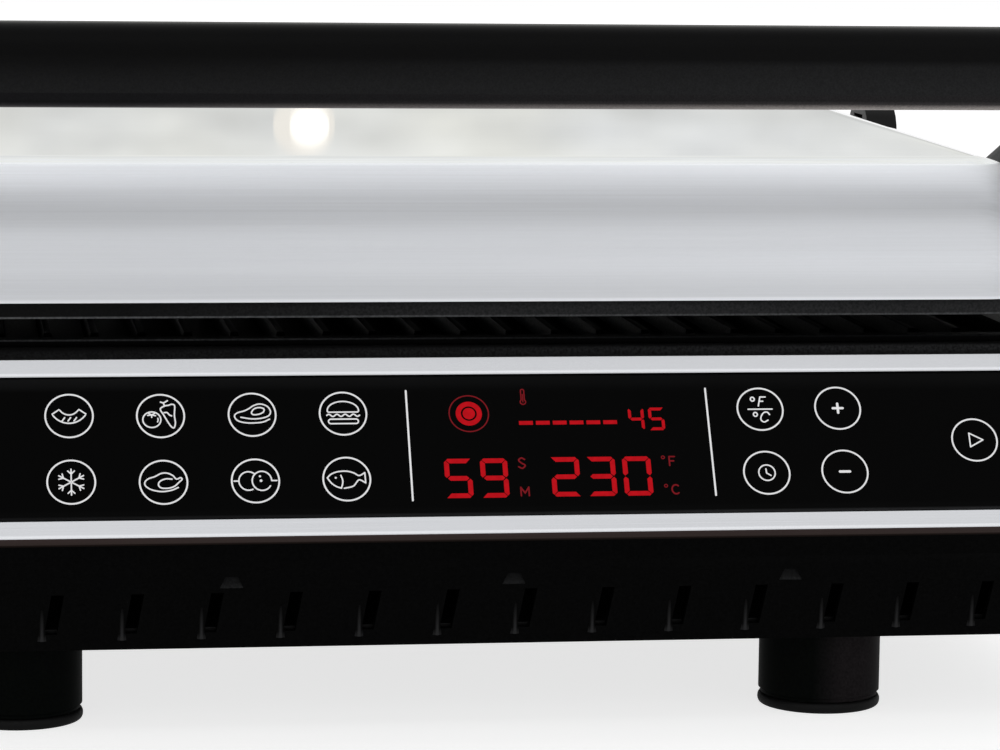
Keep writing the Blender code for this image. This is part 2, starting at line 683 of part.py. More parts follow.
def build_housing(root):
    """Model the base housing: skirt, sloping panel wall, deck with the plate opening, rails and posts."""
    housing = prism(
        "base_housing", base_outline(), -HALF_WIDTH, HALF_WIDTH, "X", end_radius=BASE_END_RADIUS
    )
    cut(housing, base_cavity())
    opening = rounded_outline(
        (-PLATE_HALF_WIDTH - FIT, PLATE_FRONT_Y - FIT),
        (PLATE_HALF_WIDTH + FIT, PLATE_REAR_Y + FIT),
        PLATE_CORNER,
    )
    cut(housing, prism("opening", opening, BASE_TOP - DECK_THICKNESS - OVERRUN, BASE_TOP + OVERRUN))
    glass_half = BEZEL_WIDTH / 2 - BEZEL_END
    rebate = panel_block(
        "rebate", glass_half + FIT, (BEZEL_STRIP - FIT, BEZEL_SLANT - BEZEL_STRIP + FIT),
        (-OVERRUN, GLASS_RECESS + GLASS_THICKNESS + FIT),
    )
    window = panel_block(
        "window", glass_half - GLASS_SEAT,
        (BEZEL_STRIP + GLASS_SEAT, BEZEL_SLANT - BEZEL_STRIP - GLASS_SEAT),
        (0, PANEL_BACK + OVERRUN),
    )
    cut(housing, rebate, window)
    tray = tray_sizes()
    bay = block(
        "bay", (-tray["flange"] - FIT, tray["flange"] + FIT), (BACK_Y - 2 * BASE_WALL, BACK_Y + OVERRUN),
        (tray["low"] - FIT, tray["top"] + FIT),
    )
    cut(housing, bay)
    gland = cylinder(
        "gland_hole", GLAND_BODY + FIT, -2 * BASE_WALL, OVERRUN, (GLAND_X, BACK_Y, GLAND_Z), "Y"
    )
    jack = cylinder("jack_hole", JACK_BODY + FIT, -2 * BASE_WALL, OVERRUN, (HALF_WIDTH, JACK_Y, JACK_Z), "X")
    latch_z = lower_latch_z()
    button = cylinder(
        "button_hole", BUTTON_RADIUS + FIT, -2 * BASE_WALL, OVERRUN, (HALF_WIDTH, LATCH_Y, latch_z), "X"
    )
    cut(housing, gland, jack, button)
    for x in vent_places():
        cut(housing, vent_cutter(x))
        join(housing, fin(x))
    for i in range(CATCH_COUNT):
        place = (i - (CATCH_COUNT - 1) / 2) * BASE_WIDTH * CATCH_PITCH_SHARE
        cut(housing, catch_cutter(CATCH_OFFSET + place))
    for side in (-1, 1):
        rail = block(
            "rail",
            sorted((side * (TRAY_HALF_WIDTH + FIT), side * (TRAY_HALF_WIDTH + RAIL_WIDTH))),
            (BACK_Y - TRAY_DEPTH, BACK_Y - BASE_WALL / 2),
            (tray["ledge"] - RAIL_HEIGHT, tray["ledge"]),
        )
        join(housing, rail)
        for y in (LATCH_Y - BRACKET_SPREAD, LATCH_Y + BRACKET_SPREAD):
            join(housing, bracket(side, y))
    for x, y in post_places():
        low = COVER_TOP + FIT
        join(housing, cylinder("post", POST_RADIUS, low, low + POST_HEIGHT, (x, y, 0), steps=BOSS_STEPS))
        hole = cylinder(
            "hole", SCREW_RADIUS + FIT, low - OVERRUN, low + SCREW_LENGTH, (x, y, 0), steps=PIN_STEPS
        )
        cut(housing, hole)
    guide_x = WALL_INNER_X - FIT - BUTTON_FLANGE_THICKNESS - LATCH_SPRING_LENGTH - 2 * FIT
    guide = block(
        "guide", (guide_x - LATCH_GUIDE_THICKNESS, guide_x),
        (LATCH_Y - LATCH_GUIDE_HALF, LATCH_Y + LATCH_GUIDE_HALF),
        (latch_z - LATCH_GUIDE_HALF, BASE_TOP - DECK_THICKNESS / 2),
    )
    join(housing, guide)
    cut(housing, stem_clearance(guide_x, latch_z))
    return finish(housing, "black_plastic", root)


def stem_clearance(guide_x, z):
    """Return the cutter of the hole that a latch's stem slides through."""
    return block(
        "stem_hole", (guide_x - LATCH_GUIDE_THICKNESS - OVERRUN / 2, guide_x + OVERRUN / 2),
        (LATCH_Y - LATCH_STEM_HALF - FIT, LATCH_Y + LATCH_STEM_HALF + FIT),
        (z - LATCH_BAR / 2 - FIT, z + LATCH_BAR / 2 + FIT),
    )


def build_cover(root):
    """Model the bottom cover: a plate with cooling slots, screw holes and standoffs for the board."""
    edge = BASE_WALL + 2 * FIT
    cover = block(
        "bottom_cover", (-HALF_WIDTH + edge, HALF_WIDTH - edge), (TOE_Y + edge, BACK_Y - edge),
        (COVER_LOW, COVER_TOP),
    )
    for side in (-1, 1):
        for i in range(COVER_VENT_COUNT):
            y = POWER_BOARD_Y + (i - (COVER_VENT_COUNT - 1) / 2) * COVER_VENT_PITCH
            middle = side * (POWER_BOARD_WIDTH / 2 + COVER_VENT_MARGIN + COVER_VENT_LENGTH / 2)
            slot = rounded_outline(
                (middle - COVER_VENT_LENGTH / 2, y - COVER_VENT_WIDTH / 2),
                (middle + COVER_VENT_LENGTH / 2, y + COVER_VENT_WIDTH / 2),
                COVER_VENT_WIDTH / 2, BEVEL_STEPS,
            )
            cut(cover, prism("slot", slot, COVER_LOW - OVERRUN, COVER_TOP + OVERRUN))
    for x, y in post_places():
        hole = cylinder(
            "hole", SCREW_RADIUS + FIT, COVER_LOW - OVERRUN, COVER_TOP + OVERRUN, (x, y, 0), steps=PIN_STEPS
        )
        cut(cover, hole)
    for x, y in standoff_places():
        low = COVER_TOP - COVER_THICKNESS / 2
        join(cover, cylinder(
            "standoff", STANDOFF_RADIUS, low, COVER_TOP + STANDOFF_HEIGHT, (x, y, 0), steps=PIN_STEPS
        ))
    return finish(cover, "black_plastic", root)


def standoff_places():
    """Return the (x, y) under the power board's four corners."""
    x = POWER_BOARD_WIDTH / 2 - STANDOFF_MARGIN
    y = POWER_BOARD_DEPTH / 2 - STANDOFF_MARGIN
    return [(sx * x, POWER_BOARD_Y + sy * y) for sx in (-1, 1) for sy in (-1, 1)]


def build_screws(root):
    """Model the four screws that hold the bottom cover."""
    for i, (x, y) in enumerate(post_places(), 1):
        finish(screw(f"bottom_screw_{i}", x, y, COVER_LOW - FIT), "bright_steel", root)


def build_power_board(root):
    """Model the power board with its transformer, two relays and two capacitors."""
    low = COVER_TOP + STANDOFF_HEIGHT + FIT
    top = low + BOARD_THICKNESS
    seat = low + BOARD_THICKNESS / 2
    board = block(
        "power_board", (-POWER_BOARD_WIDTH / 2, POWER_BOARD_WIDTH / 2),
        (POWER_BOARD_Y - POWER_BOARD_DEPTH / 2, POWER_BOARD_Y + POWER_BOARD_DEPTH / 2), (low, top),
    )
    half = TRANSFORMER_SIZE / 2
    quarter = POWER_BOARD_WIDTH / 4
    join(board, block(
        "transformer", (-quarter - half, -quarter + half), (POWER_BOARD_Y - half, POWER_BOARD_Y + half),
        (seat, top + TRANSFORMER_HEIGHT),
    ))
    for row in (-1, 1):
        y = POWER_BOARD_Y + row * POWER_BOARD_DEPTH / 4
        join(board, block(
            "relay", (quarter - RELAY_LENGTH / 2, quarter + RELAY_LENGTH / 2),
            (y - RELAY_WIDTH / 2, y + RELAY_WIDTH / 2), (seat, top + RELAY_HEIGHT),
        ))
        join(board, cylinder(
            "capacitor", CAPACITOR_RADIUS, seat, top + CAPACITOR_HEIGHT, (0, y, 0), steps=BOSS_STEPS
        ))
    return finish(board, "circuit_board", root)


def build_feet(root):
    """Model the four feet, each a round plastic stub over a rubber pad."""
    places = [
        ("front_left", -FOOT_X, TOE_Y + FOOT_FROM_TOE),
        ("front_right", FOOT_X, TOE_Y + FOOT_FROM_TOE),
        ("rear_left", -FOOT_X, BACK_Y - FOOT_FROM_BACK),
        ("rear_right", FOOT_X, BACK_Y - FOOT_FROM_BACK),
    ]
    top = COVER_LOW - FIT
    low = PAD_HEIGHT + FIT
    stub = [
        (0, low + SPIGOT_HEIGHT),
        (SPIGOT_RADIUS + FIT, low + SPIGOT_HEIGHT),
        (SPIGOT_RADIUS + FIT, low),
        (FOOT_RADIUS - FOOT_GROOVE, low),
        (FOOT_RADIUS - FOOT_GROOVE, low + FOOT_GROOVE),
        (FOOT_RADIUS, low + 2 * FOOT_GROOVE),
        (FOOT_RADIUS, top),
        (0, top),
    ]
    pad = [
        (0, 0),
        (PAD_RADIUS - PAD_EDGE, 0),
        (PAD_RADIUS - PAD_EDGE / 4, PAD_EDGE / 2),
        (PAD_RADIUS, PAD_HEIGHT / 2),
        (PAD_RADIUS - PAD_EDGE / 4, PAD_HEIGHT - PAD_EDGE / 2),
        (PAD_RADIUS - PAD_EDGE, PAD_HEIGHT),
        (SPIGOT_RADIUS, PAD_HEIGHT),
        (SPIGOT_RADIUS, PAD_HEIGHT + SPIGOT_HEIGHT),
        (0, PAD_HEIGHT + SPIGOT_HEIGHT),
    ]
    for name, x, y in places:
        finish(revolve(f"foot_{name}", stub, (x, y, 0)), "black_plastic", root)
        finish(revolve(f"foot_pad_{name}", pad, (x, y, 0)), "rubber", root)


def build_panel(root):
    """Model the steel bezel, the glass, the touch board and the display behind it."""
    half = BEZEL_WIDTH / 2
    glass_half = half - BEZEL_END
    low = panel_point(0, 0)
    lip_z = low[1] - BEZEL_LIP
    lip_y = low[0] + BEZEL_LIP_LEAN
    fold = panel_point(SHEET, SHEET)
    outline = [
        panel_point(BEZEL_SLANT, 0),
        low,
        (lip_y, lip_z),
        (lip_y + SHEET, lip_z),
        fold,
        panel_point(BEZEL_SLANT, SHEET),
    ]
    bezel = prism("control_bezel", outline, -half, half, "X")
    hole = panel_block(
        "hole", glass_half + FIT, (BEZEL_STRIP - FIT, BEZEL_SLANT - BEZEL_STRIP + FIT), (-OVERRUN, OVERRUN)
    )
    finish(cut(bezel, hole), "brushed_steel", root)

    back = GLASS_RECESS + GLASS_THICKNESS
    glass = panel_block(
        "control_glass", glass_half, (BEZEL_STRIP, BEZEL_SLANT - BEZEL_STRIP), (GLASS_RECESS, back)
    )
    finish(glass, "black_glass", root)

    middle = BEZEL_SLANT / 2
    display = panel_block(
        "led_display", DISPLAY_WIDTH / 2, (middle - DISPLAY_SLANT / 2, middle + DISPLAY_SLANT / 2),
        (back + FIT, PANEL_BACK), DISPLAY_CENTRE_X,
    )
    finish(display, "display_red", root)

    board_front = PANEL_BACK + FIT
    board_back = board_front + BOARD_THICKNESS
    board = panel_block(
        "touch_board", glass_half - TOUCH_BOARD_MARGIN,
        (BEZEL_STRIP + GLASS_SEAT, BEZEL_SLANT - BEZEL_STRIP - GLASS_SEAT), (board_front, board_back),
    )
    for x in (-DISPLAY_WIDTH, DISPLAY_CENTRE_X):
        join(board, panel_block(
            "chip", CHIP_SIZE / 2, (middle - CHIP_SIZE / 2, middle + CHIP_SIZE / 2),
            (board_front + BOARD_THICKNESS / 2, board_back + CHIP_HEIGHT), x,
        ))
    finish(board, "circuit_board", root)


def ribs(floor, crest, toward, front, rear):
    """Return the ribs of a plate as one object of parallel tapered bars.

    floor and crest are the heights of a rib's foot and crest, and toward is 1 where ribs point up.
    """
    reach = PLATE_HALF_WIDTH - PLATE_RIM - PLATE_CHANNEL
    count = int(2 * reach / RIB_PITCH + 1e-6)
    bm = bmesh.new()
    root_z = floor - toward * PLATE_FLOOR / 2
    for i in range(count + 1):
        x = (i - count / 2) * RIB_PITCH
        foot, top = RIB_FOOT / 2, RIB_CREST / 2
        outline = [(x - foot, root_z), (x + foot, root_z), (x + top, crest), (x - top, crest)]
        inset = RIB_HEIGHT / 2
        near = [bm.verts.new((px, front + (inset if pz == crest else 0), pz)) for px, pz in outline]
        far = [bm.verts.new((px, rear - (inset if pz == crest else 0), pz)) for px, pz in outline]
        bm.faces.new(near)
        bm.faces.new(far[::-1])
        for a in range(4):
            b = (a + 1) % 4
            bm.faces.new((near[a], far[a], far[b], near[b]))
    return as_object("ribs", bm)


def plate_body(name, low, high, toward):
    """Return a cast plate: a round-cornered slab with a pan, its ribs and two latch lugs."""
    front, rear = PLATE_FRONT_Y, PLATE_REAR_Y
    half = PLATE_HALF_WIDTH
    outline = rounded_outline((-half, front), (half, rear), PLATE_CORNER - FIT)
    plate = prism(name, outline, low, high)
    pan = rounded_outline(
        (-half + PLATE_RIM, front + PLATE_RIM), (half - PLATE_RIM, rear - PLATE_RIM), PLATE_CORNER - PLATE_RIM
    )
    floor = low + PLATE_FLOOR if toward > 0 else high - PLATE_FLOOR
    span = (floor, high + OVERRUN) if toward > 0 else (low - OVERRUN, floor)
    cut(plate, prism("pan", pan, *span))
    start = front + PLATE_RIM + PLATE_CHANNEL
    end = rear - PLATE_RIM - PLATE_CHANNEL - DRAIN_WIDTH
    join(plate, ribs(floor, floor + toward * RIB_HEIGHT, toward, start, end))
    return plate


def lugs(wall_x, plate_face, toward):
    """Return the two hooked lugs that a latch head holds, on a plate's back face."""
    post_x = wall_x - LATCH_REACH + LATCH_HEAD_LENGTH + FIT
    inner_x = post_x - LATCH_HEAD_LENGTH - FIT
    ledge_high = plate_face + toward * (LUG_DROP + LATCH_BAR + FIT)
    ledge_low = ledge_high + toward * LUG_LEDGE
    sink = plate_face - toward * PLATE_FLOOR / 2
    made = []
    for side in (-1, 1):
        near = LATCH_Y + side * (LATCH_STEM_HALF + 2 * FIT)
        far = LATCH_Y + side * LATCH_HEAD_HALF
        outline = [
            (post_x, sink),
            (post_x + LUG_THICKNESS, sink),
            (post_x + LUG_THICKNESS, ledge_low),
            (inner_x, ledge_low),
            (inner_x, ledge_high),
            (post_x, ledge_high),
        ]
        made.append(prism("lug", outline, min(near, far), max(near, far), "Y"))
    return made


def lower_latch_z():
    """Return the height of the lower latch bar's middle."""
    return LOWER_PLATE_LOW - LUG_DROP - LATCH_BAR / 2


def upper_latch_z():
    """Return the height of the upper latch bar's middle."""
    return UPPER_PLATE_TOP + LUG_DROP + LATCH_BAR / 2


def lid_inset(height):
    """Return how far the lid's drafted and rolled wall has moved in at a height above its rim."""
    rolled = max(0, height - LID_FACE)
    drafted = LID_DRAFT * (height - rolled) / LID_FACE
    return drafted + LID_BEND - sqrt(LID_BEND ** 2 - rolled ** 2)


def lid_wall_x():
    """Return the x of the lid's inner wall, where it leaves least room for the latch button."""
    height = upper_latch_z() + BUTTON_RADIUS + BUTTON_FLANGE - SHELL_LOW
    return LID_HALF_WIDTH - LID_WALL - lid_inset(height)


def build_lower_plate(root):
    """Model the lower plate with its flange, ribs, drain slot and latch lugs."""
    plate = plate_body("lower_plate", LOWER_PLATE_LOW, LOWER_PLATE_TOP, 1)
    outer = rounded_outline(
        (-PLATE_HALF_WIDTH - PLATE_FLANGE, PLATE_FRONT_Y - PLATE_FLANGE),
        (PLATE_HALF_WIDTH + PLATE_FLANGE, PLATE_REAR_Y + PLATE_FLANGE), PLATE_CORNER + PLATE_FLANGE,
    )
    flange = prism("flange", outer, BASE_TOP + FIT, LOWER_PLATE_TOP)
    inner = rounded_outline(
        (-PLATE_HALF_WIDTH + PLATE_RIM / 2, PLATE_FRONT_Y + PLATE_RIM / 2),
        (PLATE_HALF_WIDTH - PLATE_RIM / 2, PLATE_REAR_Y - PLATE_RIM / 2), PLATE_CORNER - PLATE_RIM / 2,
    )
    cut(flange, prism("inside", inner, BASE_TOP - OVERRUN, LOWER_PLATE_TOP + OVERRUN))
    join(plate, flange)
    drain_y = PLATE_REAR_Y - PLATE_RIM - PLATE_CHANNEL / 2 - DRAIN_WIDTH / 2
    drain = rounded_outline(
        (-DRAIN_LENGTH / 2, drain_y - DRAIN_WIDTH / 2), (DRAIN_LENGTH / 2, drain_y + DRAIN_WIDTH / 2),
        DRAIN_WIDTH / 2, SMALL_CORNER_STEPS,
    )
    cut(plate, prism("drain", drain, LOWER_PLATE_LOW - OVERRUN, LOWER_PLATE_TOP + OVERRUN))
    join(plate, *lugs(WALL_INNER_X, LOWER_PLATE_LOW, -1))
    return finish(plate, "cast_plate", root)


def build_upper_plate(lid):
    """Model the upper plate, whose ribs point down."""
    plate = plate_body("upper_plate", UPPER_PLATE_LOW, UPPER_PLATE_TOP, -1)
    join(plate, *lugs(lid_wall_x(), UPPER_PLATE_TOP, 1))
    return finish(plate, "cast_plate", lid)


def element_points(z, front, rear):
    """Return the heating element's path: three long loops with round bends, ends at the rear."""
    corners = [
        (-ELEMENT_OUTER_X, rear),
        (-ELEMENT_OUTER_X, front),
        (-ELEMENT_INNER_X, front),
        (-ELEMENT_INNER_X, rear - ELEMENT_BEND),
        (ELEMENT_INNER_X, rear - ELEMENT_BEND),
        (ELEMENT_INNER_X, front),
        (ELEMENT_OUTER_X, front),
        (ELEMENT_OUTER_X, rear),
    ]
    places = [Vector((x, y, z)) for x, y in corners]
    points = [places[0]]
    for before, here, after in zip(places, places[1:], places[2:]):
        arrive = (here - before).normalized()
        leave = (after - here).normalized()
        centre = here - arrive * ELEMENT_BEND + leave * ELEMENT_BEND
        for i in range(CORNER_STEPS + 1):
            turn = i / CORNER_STEPS * pi / 2
            points.append(centre + arrive * ELEMENT_BEND * sin(turn) - leave * ELEMENT_BEND * cos(turn))
    points.append(places[-1])
    return points


def reflector(name, face, toward, half_width):
    """Return a shallow sheet tray round a heating element, with a hole for the sensor.

    face is the height of the plate's back, and toward is the direction from it to the reflector.
    """
    front = PLATE_FRONT_Y + REFLECTOR_SETBACK
    floor = face + toward * ELEMENT_ROOM
    outer = rounded_outline((-half_width, front), (half_width, REFLECTOR_REAR_Y), REFLECTOR_CORNER)
    inner = rounded_outline(
        (-half_width + SHEET, front + SHEET), (half_width - SHEET, REFLECTOR_REAR_Y - SHEET),
        REFLECTOR_CORNER - SHEET,
    )
    back = floor + toward * SHEET
    mouth = face + toward * FIT
    made = prism(name, outer, min(mouth, back), max(mouth, back))
    beyond = face - toward * OVERRUN
    cut(made, prism("inside", inner, min(floor, beyond), max(floor, beyond)))
    middle = (front + REFLECTOR_REAR_Y) / 2
    hole = cylinder(
        "hole", SENSOR_RADIUS + FIT, min(floor, back) - OVERRUN, max(floor, back) + OVERRUN, (0, middle, 0)
    )
    return cut(made, hole)


def sensor(name, face, toward):
    """Return a temperature sensor: its tip under the plate, its flange behind the reflector."""
    middle = (PLATE_FRONT_Y + REFLECTOR_SETBACK + REFLECTOR_REAR_Y) / 2
    behind = face + toward * (ELEMENT_ROOM + SHEET + FIT)
    profile = [
        (0, face + toward * FIT),
        (SENSOR_RADIUS, face + toward * FIT),
        (SENSOR_RADIUS, behind),
        (SENSOR_FLANGE, behind),
        (SENSOR_FLANGE, behind + toward * SENSOR_BODY),
        (0, behind + toward * SENSOR_BODY),
    ]
    return revolve(name, profile, (0, middle, 0), steps=BOSS_STEPS)


def build_heater(prefix, face, toward, half_width, carrier):
    """Model one heating set: element, reflector and sensor behind a plate."""
    front = PLATE_FRONT_Y + REFLECTOR_SETBACK + ELEMENT_MARGIN
    rear = REFLECTOR_REAR_Y - SHEET - 2 * FIT
    z = face + toward * ELEMENT_ROOM / 2
    made = tube(f"{prefix}_heating_element", element_points(z, front, rear), ELEMENT_RADIUS)
    finish(made, "element_alloy", carrier)
    finish(reflector(f"{prefix}_reflector", face, toward, half_width), "aluminised_steel", carrier)
    finish(sensor(f"{prefix}_temp_sensor", face, toward), "sensor_brass", carrier)


def build_latch(prefix, wall_x, outside_x, z, spring_carrier):
    """Model a release button whose stem ends in a T-shaped head, and its coil spring."""
    slide = empty(f"slide_{prefix}_release", (outside_x, LATCH_Y, z))
    flange_x = wall_x - FIT
    stem_x = flange_x - BUTTON_FLANGE_THICKNESS
    tip_x = outside_x + BUTTON_PROUD
    cap = [
        (0, stem_x),
        (BUTTON_RADIUS + BUTTON_FLANGE, stem_x),
        (BUTTON_RADIUS + BUTTON_FLANGE, flange_x),
        (BUTTON_RADIUS, flange_x),
        (BUTTON_RADIUS, tip_x - BUTTON_PROUD / 4),
        (BUTTON_RADIUS - BUTTON_PROUD / 4, tip_x),
        (0, tip_x),
    ]
    button = revolve(f"{prefix}_release_button", cap, (0, LATCH_Y, z), "X")
    head_x = wall_x - LATCH_REACH
    join(
        button,
        block(
            "stem", (head_x, stem_x + BUTTON_FLANGE_THICKNESS / 2),
            (LATCH_Y - LATCH_STEM_HALF, LATCH_Y + LATCH_STEM_HALF), (z - LATCH_BAR / 2, z + LATCH_BAR / 2),
        ),
        block(
            "head", (head_x, head_x + LATCH_HEAD_LENGTH),
            (LATCH_Y - LATCH_HEAD_HALF, LATCH_Y + LATCH_HEAD_HALF), (z - LATCH_BAR / 2, z + LATCH_BAR / 2),
        ),
    )
    finish(button, "satin_black", slide)
    rest = stem_x - FIT - SPRING_WIRE
    span = LATCH_SPRING_LENGTH - 2 * SPRING_WIRE
    count = SPRING_TURNS * SPRING_STEPS
    coil = [
        (
            rest - span * i / count,
            LATCH_Y + SPRING_RADIUS * cos(2 * pi * i / SPRING_STEPS),
            z + SPRING_RADIUS * sin(2 * pi * i / SPRING_STEPS),
        )
        for i in range(count + 1)
    ]
    finish(tube(f"{prefix}_release_spring", coil, SPRING_WIRE, 1), "bright_steel", spring_carrier)


def tray_sizes():
    """Return the heights and half widths that the drip tray and its bay share."""
    top = LOWER_PLATE_LOW - ELEMENT_ROOM - SHEET - TRAY_BELOW_REFLECTOR
    return {
        "top": top,
        "low": top - TRAY_HEIGHT,
        "flange": TRAY_HALF_WIDTH + TRAY_FLANGE,
        "ledge": top - TRAY_WALL - FIT,
    }


def build_tray():
    """Model the drip tray, which pulls out to the rear on two flanges."""
    sizes = tray_sizes()
    slide = empty("slide_drip_tray", (0, BACK_Y, sizes["low"]))
    low, top = sizes["low"], sizes["top"]
    inner_end = BACK_Y - TRAY_DEPTH
    face = BACK_Y + FIT
    outline = rounded_outline(
        (-TRAY_HALF_WIDTH, inner_end), (TRAY_HALF_WIDTH, face + TRAY_FACE_THICKNESS / 2), TRAY_CORNER,
        SMALL_CORNER_STEPS,
    )
    tray = prism("drip_tray", outline, low, top)
    flange = block(
        "flange", (-sizes["flange"], sizes["flange"]),
        (inner_end + TRAY_CORNER, face + TRAY_FACE_THICKNESS / 2),
        (top - TRAY_WALL, top),
    )
    plate = block(
        "face", (-sizes["flange"] - TRAY_FACE_MARGIN, sizes["flange"] + TRAY_FACE_MARGIN),
        (face, face + TRAY_FACE_THICKNESS), (low - TRAY_FACE_MARGIN, top + TRAY_FACE_MARGIN),
    )
    pull = block(
        "pull", (-TRAY_PULL_HALF, TRAY_PULL_HALF), (face + TRAY_FACE_THICKNESS / 2, face + TRAY_PULL),
        (top - TRAY_PULL_HEIGHT, top),
    )
    join(tray, flange, plate, pull)
    hollow = rounded_outline(
        (-TRAY_HALF_WIDTH + TRAY_WALL, inner_end + TRAY_WALL), (TRAY_HALF_WIDTH - TRAY_WALL, face - FIT),
        TRAY_CORNER - TRAY_WALL, SMALL_CORNER_STEPS,
    )
    cut(tray, prism("hollow", hollow, low + TRAY_WALL, top + OVERRUN))
    return finish(tray, "satin_black", slide)


def build_fittings(root):
    """Model the cord gland in the back wall and the probe jack in the right wall."""
    gland = [
        (GLAND_BORE, -GLAND_LENGTH),
        (GLAND_BODY, -GLAND_LENGTH),
        (GLAND_BODY, FIT),
        (GLAND_FLANGE, FIT),
        (GLAND_FLANGE, FIT + GLAND_FLANGE_THICKNESS / 2),
        (GLAND_FLANGE - GLAND_FLANGE_THICKNESS / 2, FIT + GLAND_FLANGE_THICKNESS),
        (GLAND_BORE, FIT + GLAND_FLANGE_THICKNESS),
    ]
    finish(revolve("cord_gland", gland, (GLAND_X, BACK_Y, GLAND_Z), "Y"), "rubber", root)
    jack = [
        (0, -JACK_LENGTH),
        (JACK_BODY, -JACK_LENGTH),
        (JACK_BODY, FIT),
        (JACK_FLANGE, FIT),
        (JACK_FLANGE, FIT + JACK_FLANGE_THICKNESS),
        (JACK_BORE, FIT + JACK_FLANGE_THICKNESS),
        (JACK_BORE, -JACK_LENGTH / 2),
        (0, -JACK_LENGTH / 2),
    ]
    finish(revolve("probe_jack", jack, (HALF_WIDTH, JACK_Y, JACK_Z), "X"), "satin_black", root)


def lid_ring(inset, z, share):
    """Return one ring of the lid shell's surface, lifted towards the rear by its share of the height."""
    outline = rounded_outline(
        (-LID_HALF_WIDTH + inset, LID_FRONT_Y + inset), (LID_HALF_WIDTH - inset, LID_REAR_Y - inset),
        LID_CORNER - inset,
    )
    slope = tan(DECK_RISE) * share
    return [(x, y, z + slope * (y - LID_FRONT_Y)) for x, y in outline]


def lid_rings(wall):
    """Return the rings of the lid's outer skin, or of the inner one where wall is its thickness."""
    bend = LID_BEND - wall
    rings = [
        lid_ring(wall, SHELL_LOW, 0),
        lid_ring(LID_DRAFT + wall, BEND_Z, LID_FACE / (LID_FACE + LID_BEND)),
    ]
    for i in range(1, BEND_STEPS + 1):
        turn = i / BEND_STEPS * pi / 2
        height = LID_FACE + LID_BEND * sin(turn)
        rings.append(lid_ring(
            LID_DRAFT + wall + bend * (1 - cos(turn)), BEND_Z + bend * sin(turn),
            height / (LID_FACE + LID_BEND),
        ))
    return rings


def build_lid_shell(lid):
    """Model the pressed steel lid: drafted walls, a rolled top edge and a deck that rises to the rear."""
    bm = bmesh.new()
    outer = [[bm.verts.new(p) for p in ring] for ring in lid_rings(0)]
    inner = [[bm.verts.new(p) for p in ring] for ring in lid_rings(LID_WALL)]
    skin = inner[::-1] + outer
    for low, high in zip(skin, skin[1:]):
        for i in range(len(low)):
            j = (i + 1) % len(low)
            bm.faces.new((low[i], low[j], high[j], high[i]))
    bm.faces.new(outer[-1])
    bm.faces.new(inner[-1][::-1])
    shell = as_object("lid_shell", bm)
    z = upper_latch_z()
    cut(shell, cylinder(
        "button_hole", BUTTON_RADIUS + FIT, -4 * LID_WALL, 4 * LID_WALL, (LID_HALF_WIDTH, LATCH_Y, z), "X"
    ))
    for side in (-1, 1):
        place = (side * LID_HALF_WIDTH, *arm_mount())
        cut(shell, cylinder(
            "bolt_hole", BOLT_RADIUS + FIT, -5 * LID_WALL, 5 * LID_WALL, place, "X", PIN_STEPS
        ))
    return finish(shell, "brushed_steel", lid)


def build_lid_frame(lid):
    """Model the plastic frame that closes the lid's rim, holds the upper plate and carries two stops."""
    inset = LID_WALL + LID_DRAFT + FIT
    outer = rounded_outline(
        (-LID_HALF_WIDTH + inset, LID_FRONT_Y + inset), (LID_HALF_WIDTH - inset, LID_REAR_Y - inset),
        LID_CORNER - inset,
    )
    inner = rounded_outline(
        (-PLATE_HALF_WIDTH - FIT, PLATE_FRONT_Y - FIT), (PLATE_HALF_WIDTH + FIT, PLATE_REAR_Y + FIT),
        PLATE_CORNER,
    )
    top = SHELL_LOW + FRAME_UPSTAND
    frame = prism("lid_frame", outer, FRAME_LOW, top)
    cut(frame, prism("inside", inner, FRAME_LOW - OVERRUN, top + OVERRUN))
    stop_x = PLATE_HALF_WIDTH + PLATE_FLANGE + 2 * FIT
    for side in (-1, 1):
        y = LID_FRONT_Y + STOP_FROM_FRONT
        join(frame, block(
            "stop", sorted((side * stop_x, side * (LID_HALF_WIDTH - inset - FIT))), (y, y + STOP_LENGTH),
            (BASE_TOP + FIT, FRAME_LOW + LID_RIM / 2),
        ))
    z = upper_latch_z()
    guide_x = lid_wall_x() - FIT - BUTTON_FLANGE_THICKNESS - LATCH_SPRING_LENGTH - 2 * FIT
    cut(frame, cylinder(
        "button_room", BUTTON_RADIUS + BUTTON_FLANGE + 2 * FIT, PLATE_HALF_WIDTH - OVERRUN,
        LID_HALF_WIDTH + OVERRUN, (0, LATCH_Y, z), "X",
    ))
    y = (LATCH_Y - LATCH_GUIDE_HALF, LATCH_Y + LATCH_GUIDE_HALF)
    foot_low = UPPER_PLATE_TOP + FIT
    foot_top = z - SPRING_RADIUS - SPRING_WIRE - FIT
    for side in (-1, 1):
        near = LATCH_Y + side * (LATCH_GUIDE_HALF + FIT)
        far = LATCH_Y + side * (LATCH_GUIDE_HALF + LATCH_GUIDE_THICKNESS + FIT)
        join(frame, block(
            "rib", (guide_x - LATCH_GUIDE_THICKNESS, PLATE_HALF_WIDTH + 2 * FIT + OVERRUN),
            sorted((near, far)), (foot_low, top),
        ))
    guide = block(
        "guide", (guide_x - LATCH_GUIDE_THICKNESS, guide_x),
        (y[0] - LATCH_GUIDE_THICKNESS / 2, y[1] + LATCH_GUIDE_THICKNESS / 2),
        (foot_low, z + LATCH_GUIDE_HALF),
    )
    join(frame, guide)
    cut(frame, stem_clearance(guide_x, z))
    return finish(frame, "black_plastic", lid)


def wall_rear_y(z):
    """Return the y of the lid's rear face at a height."""
    return LID_REAR_Y - lid_inset(z - SHELL_LOW)


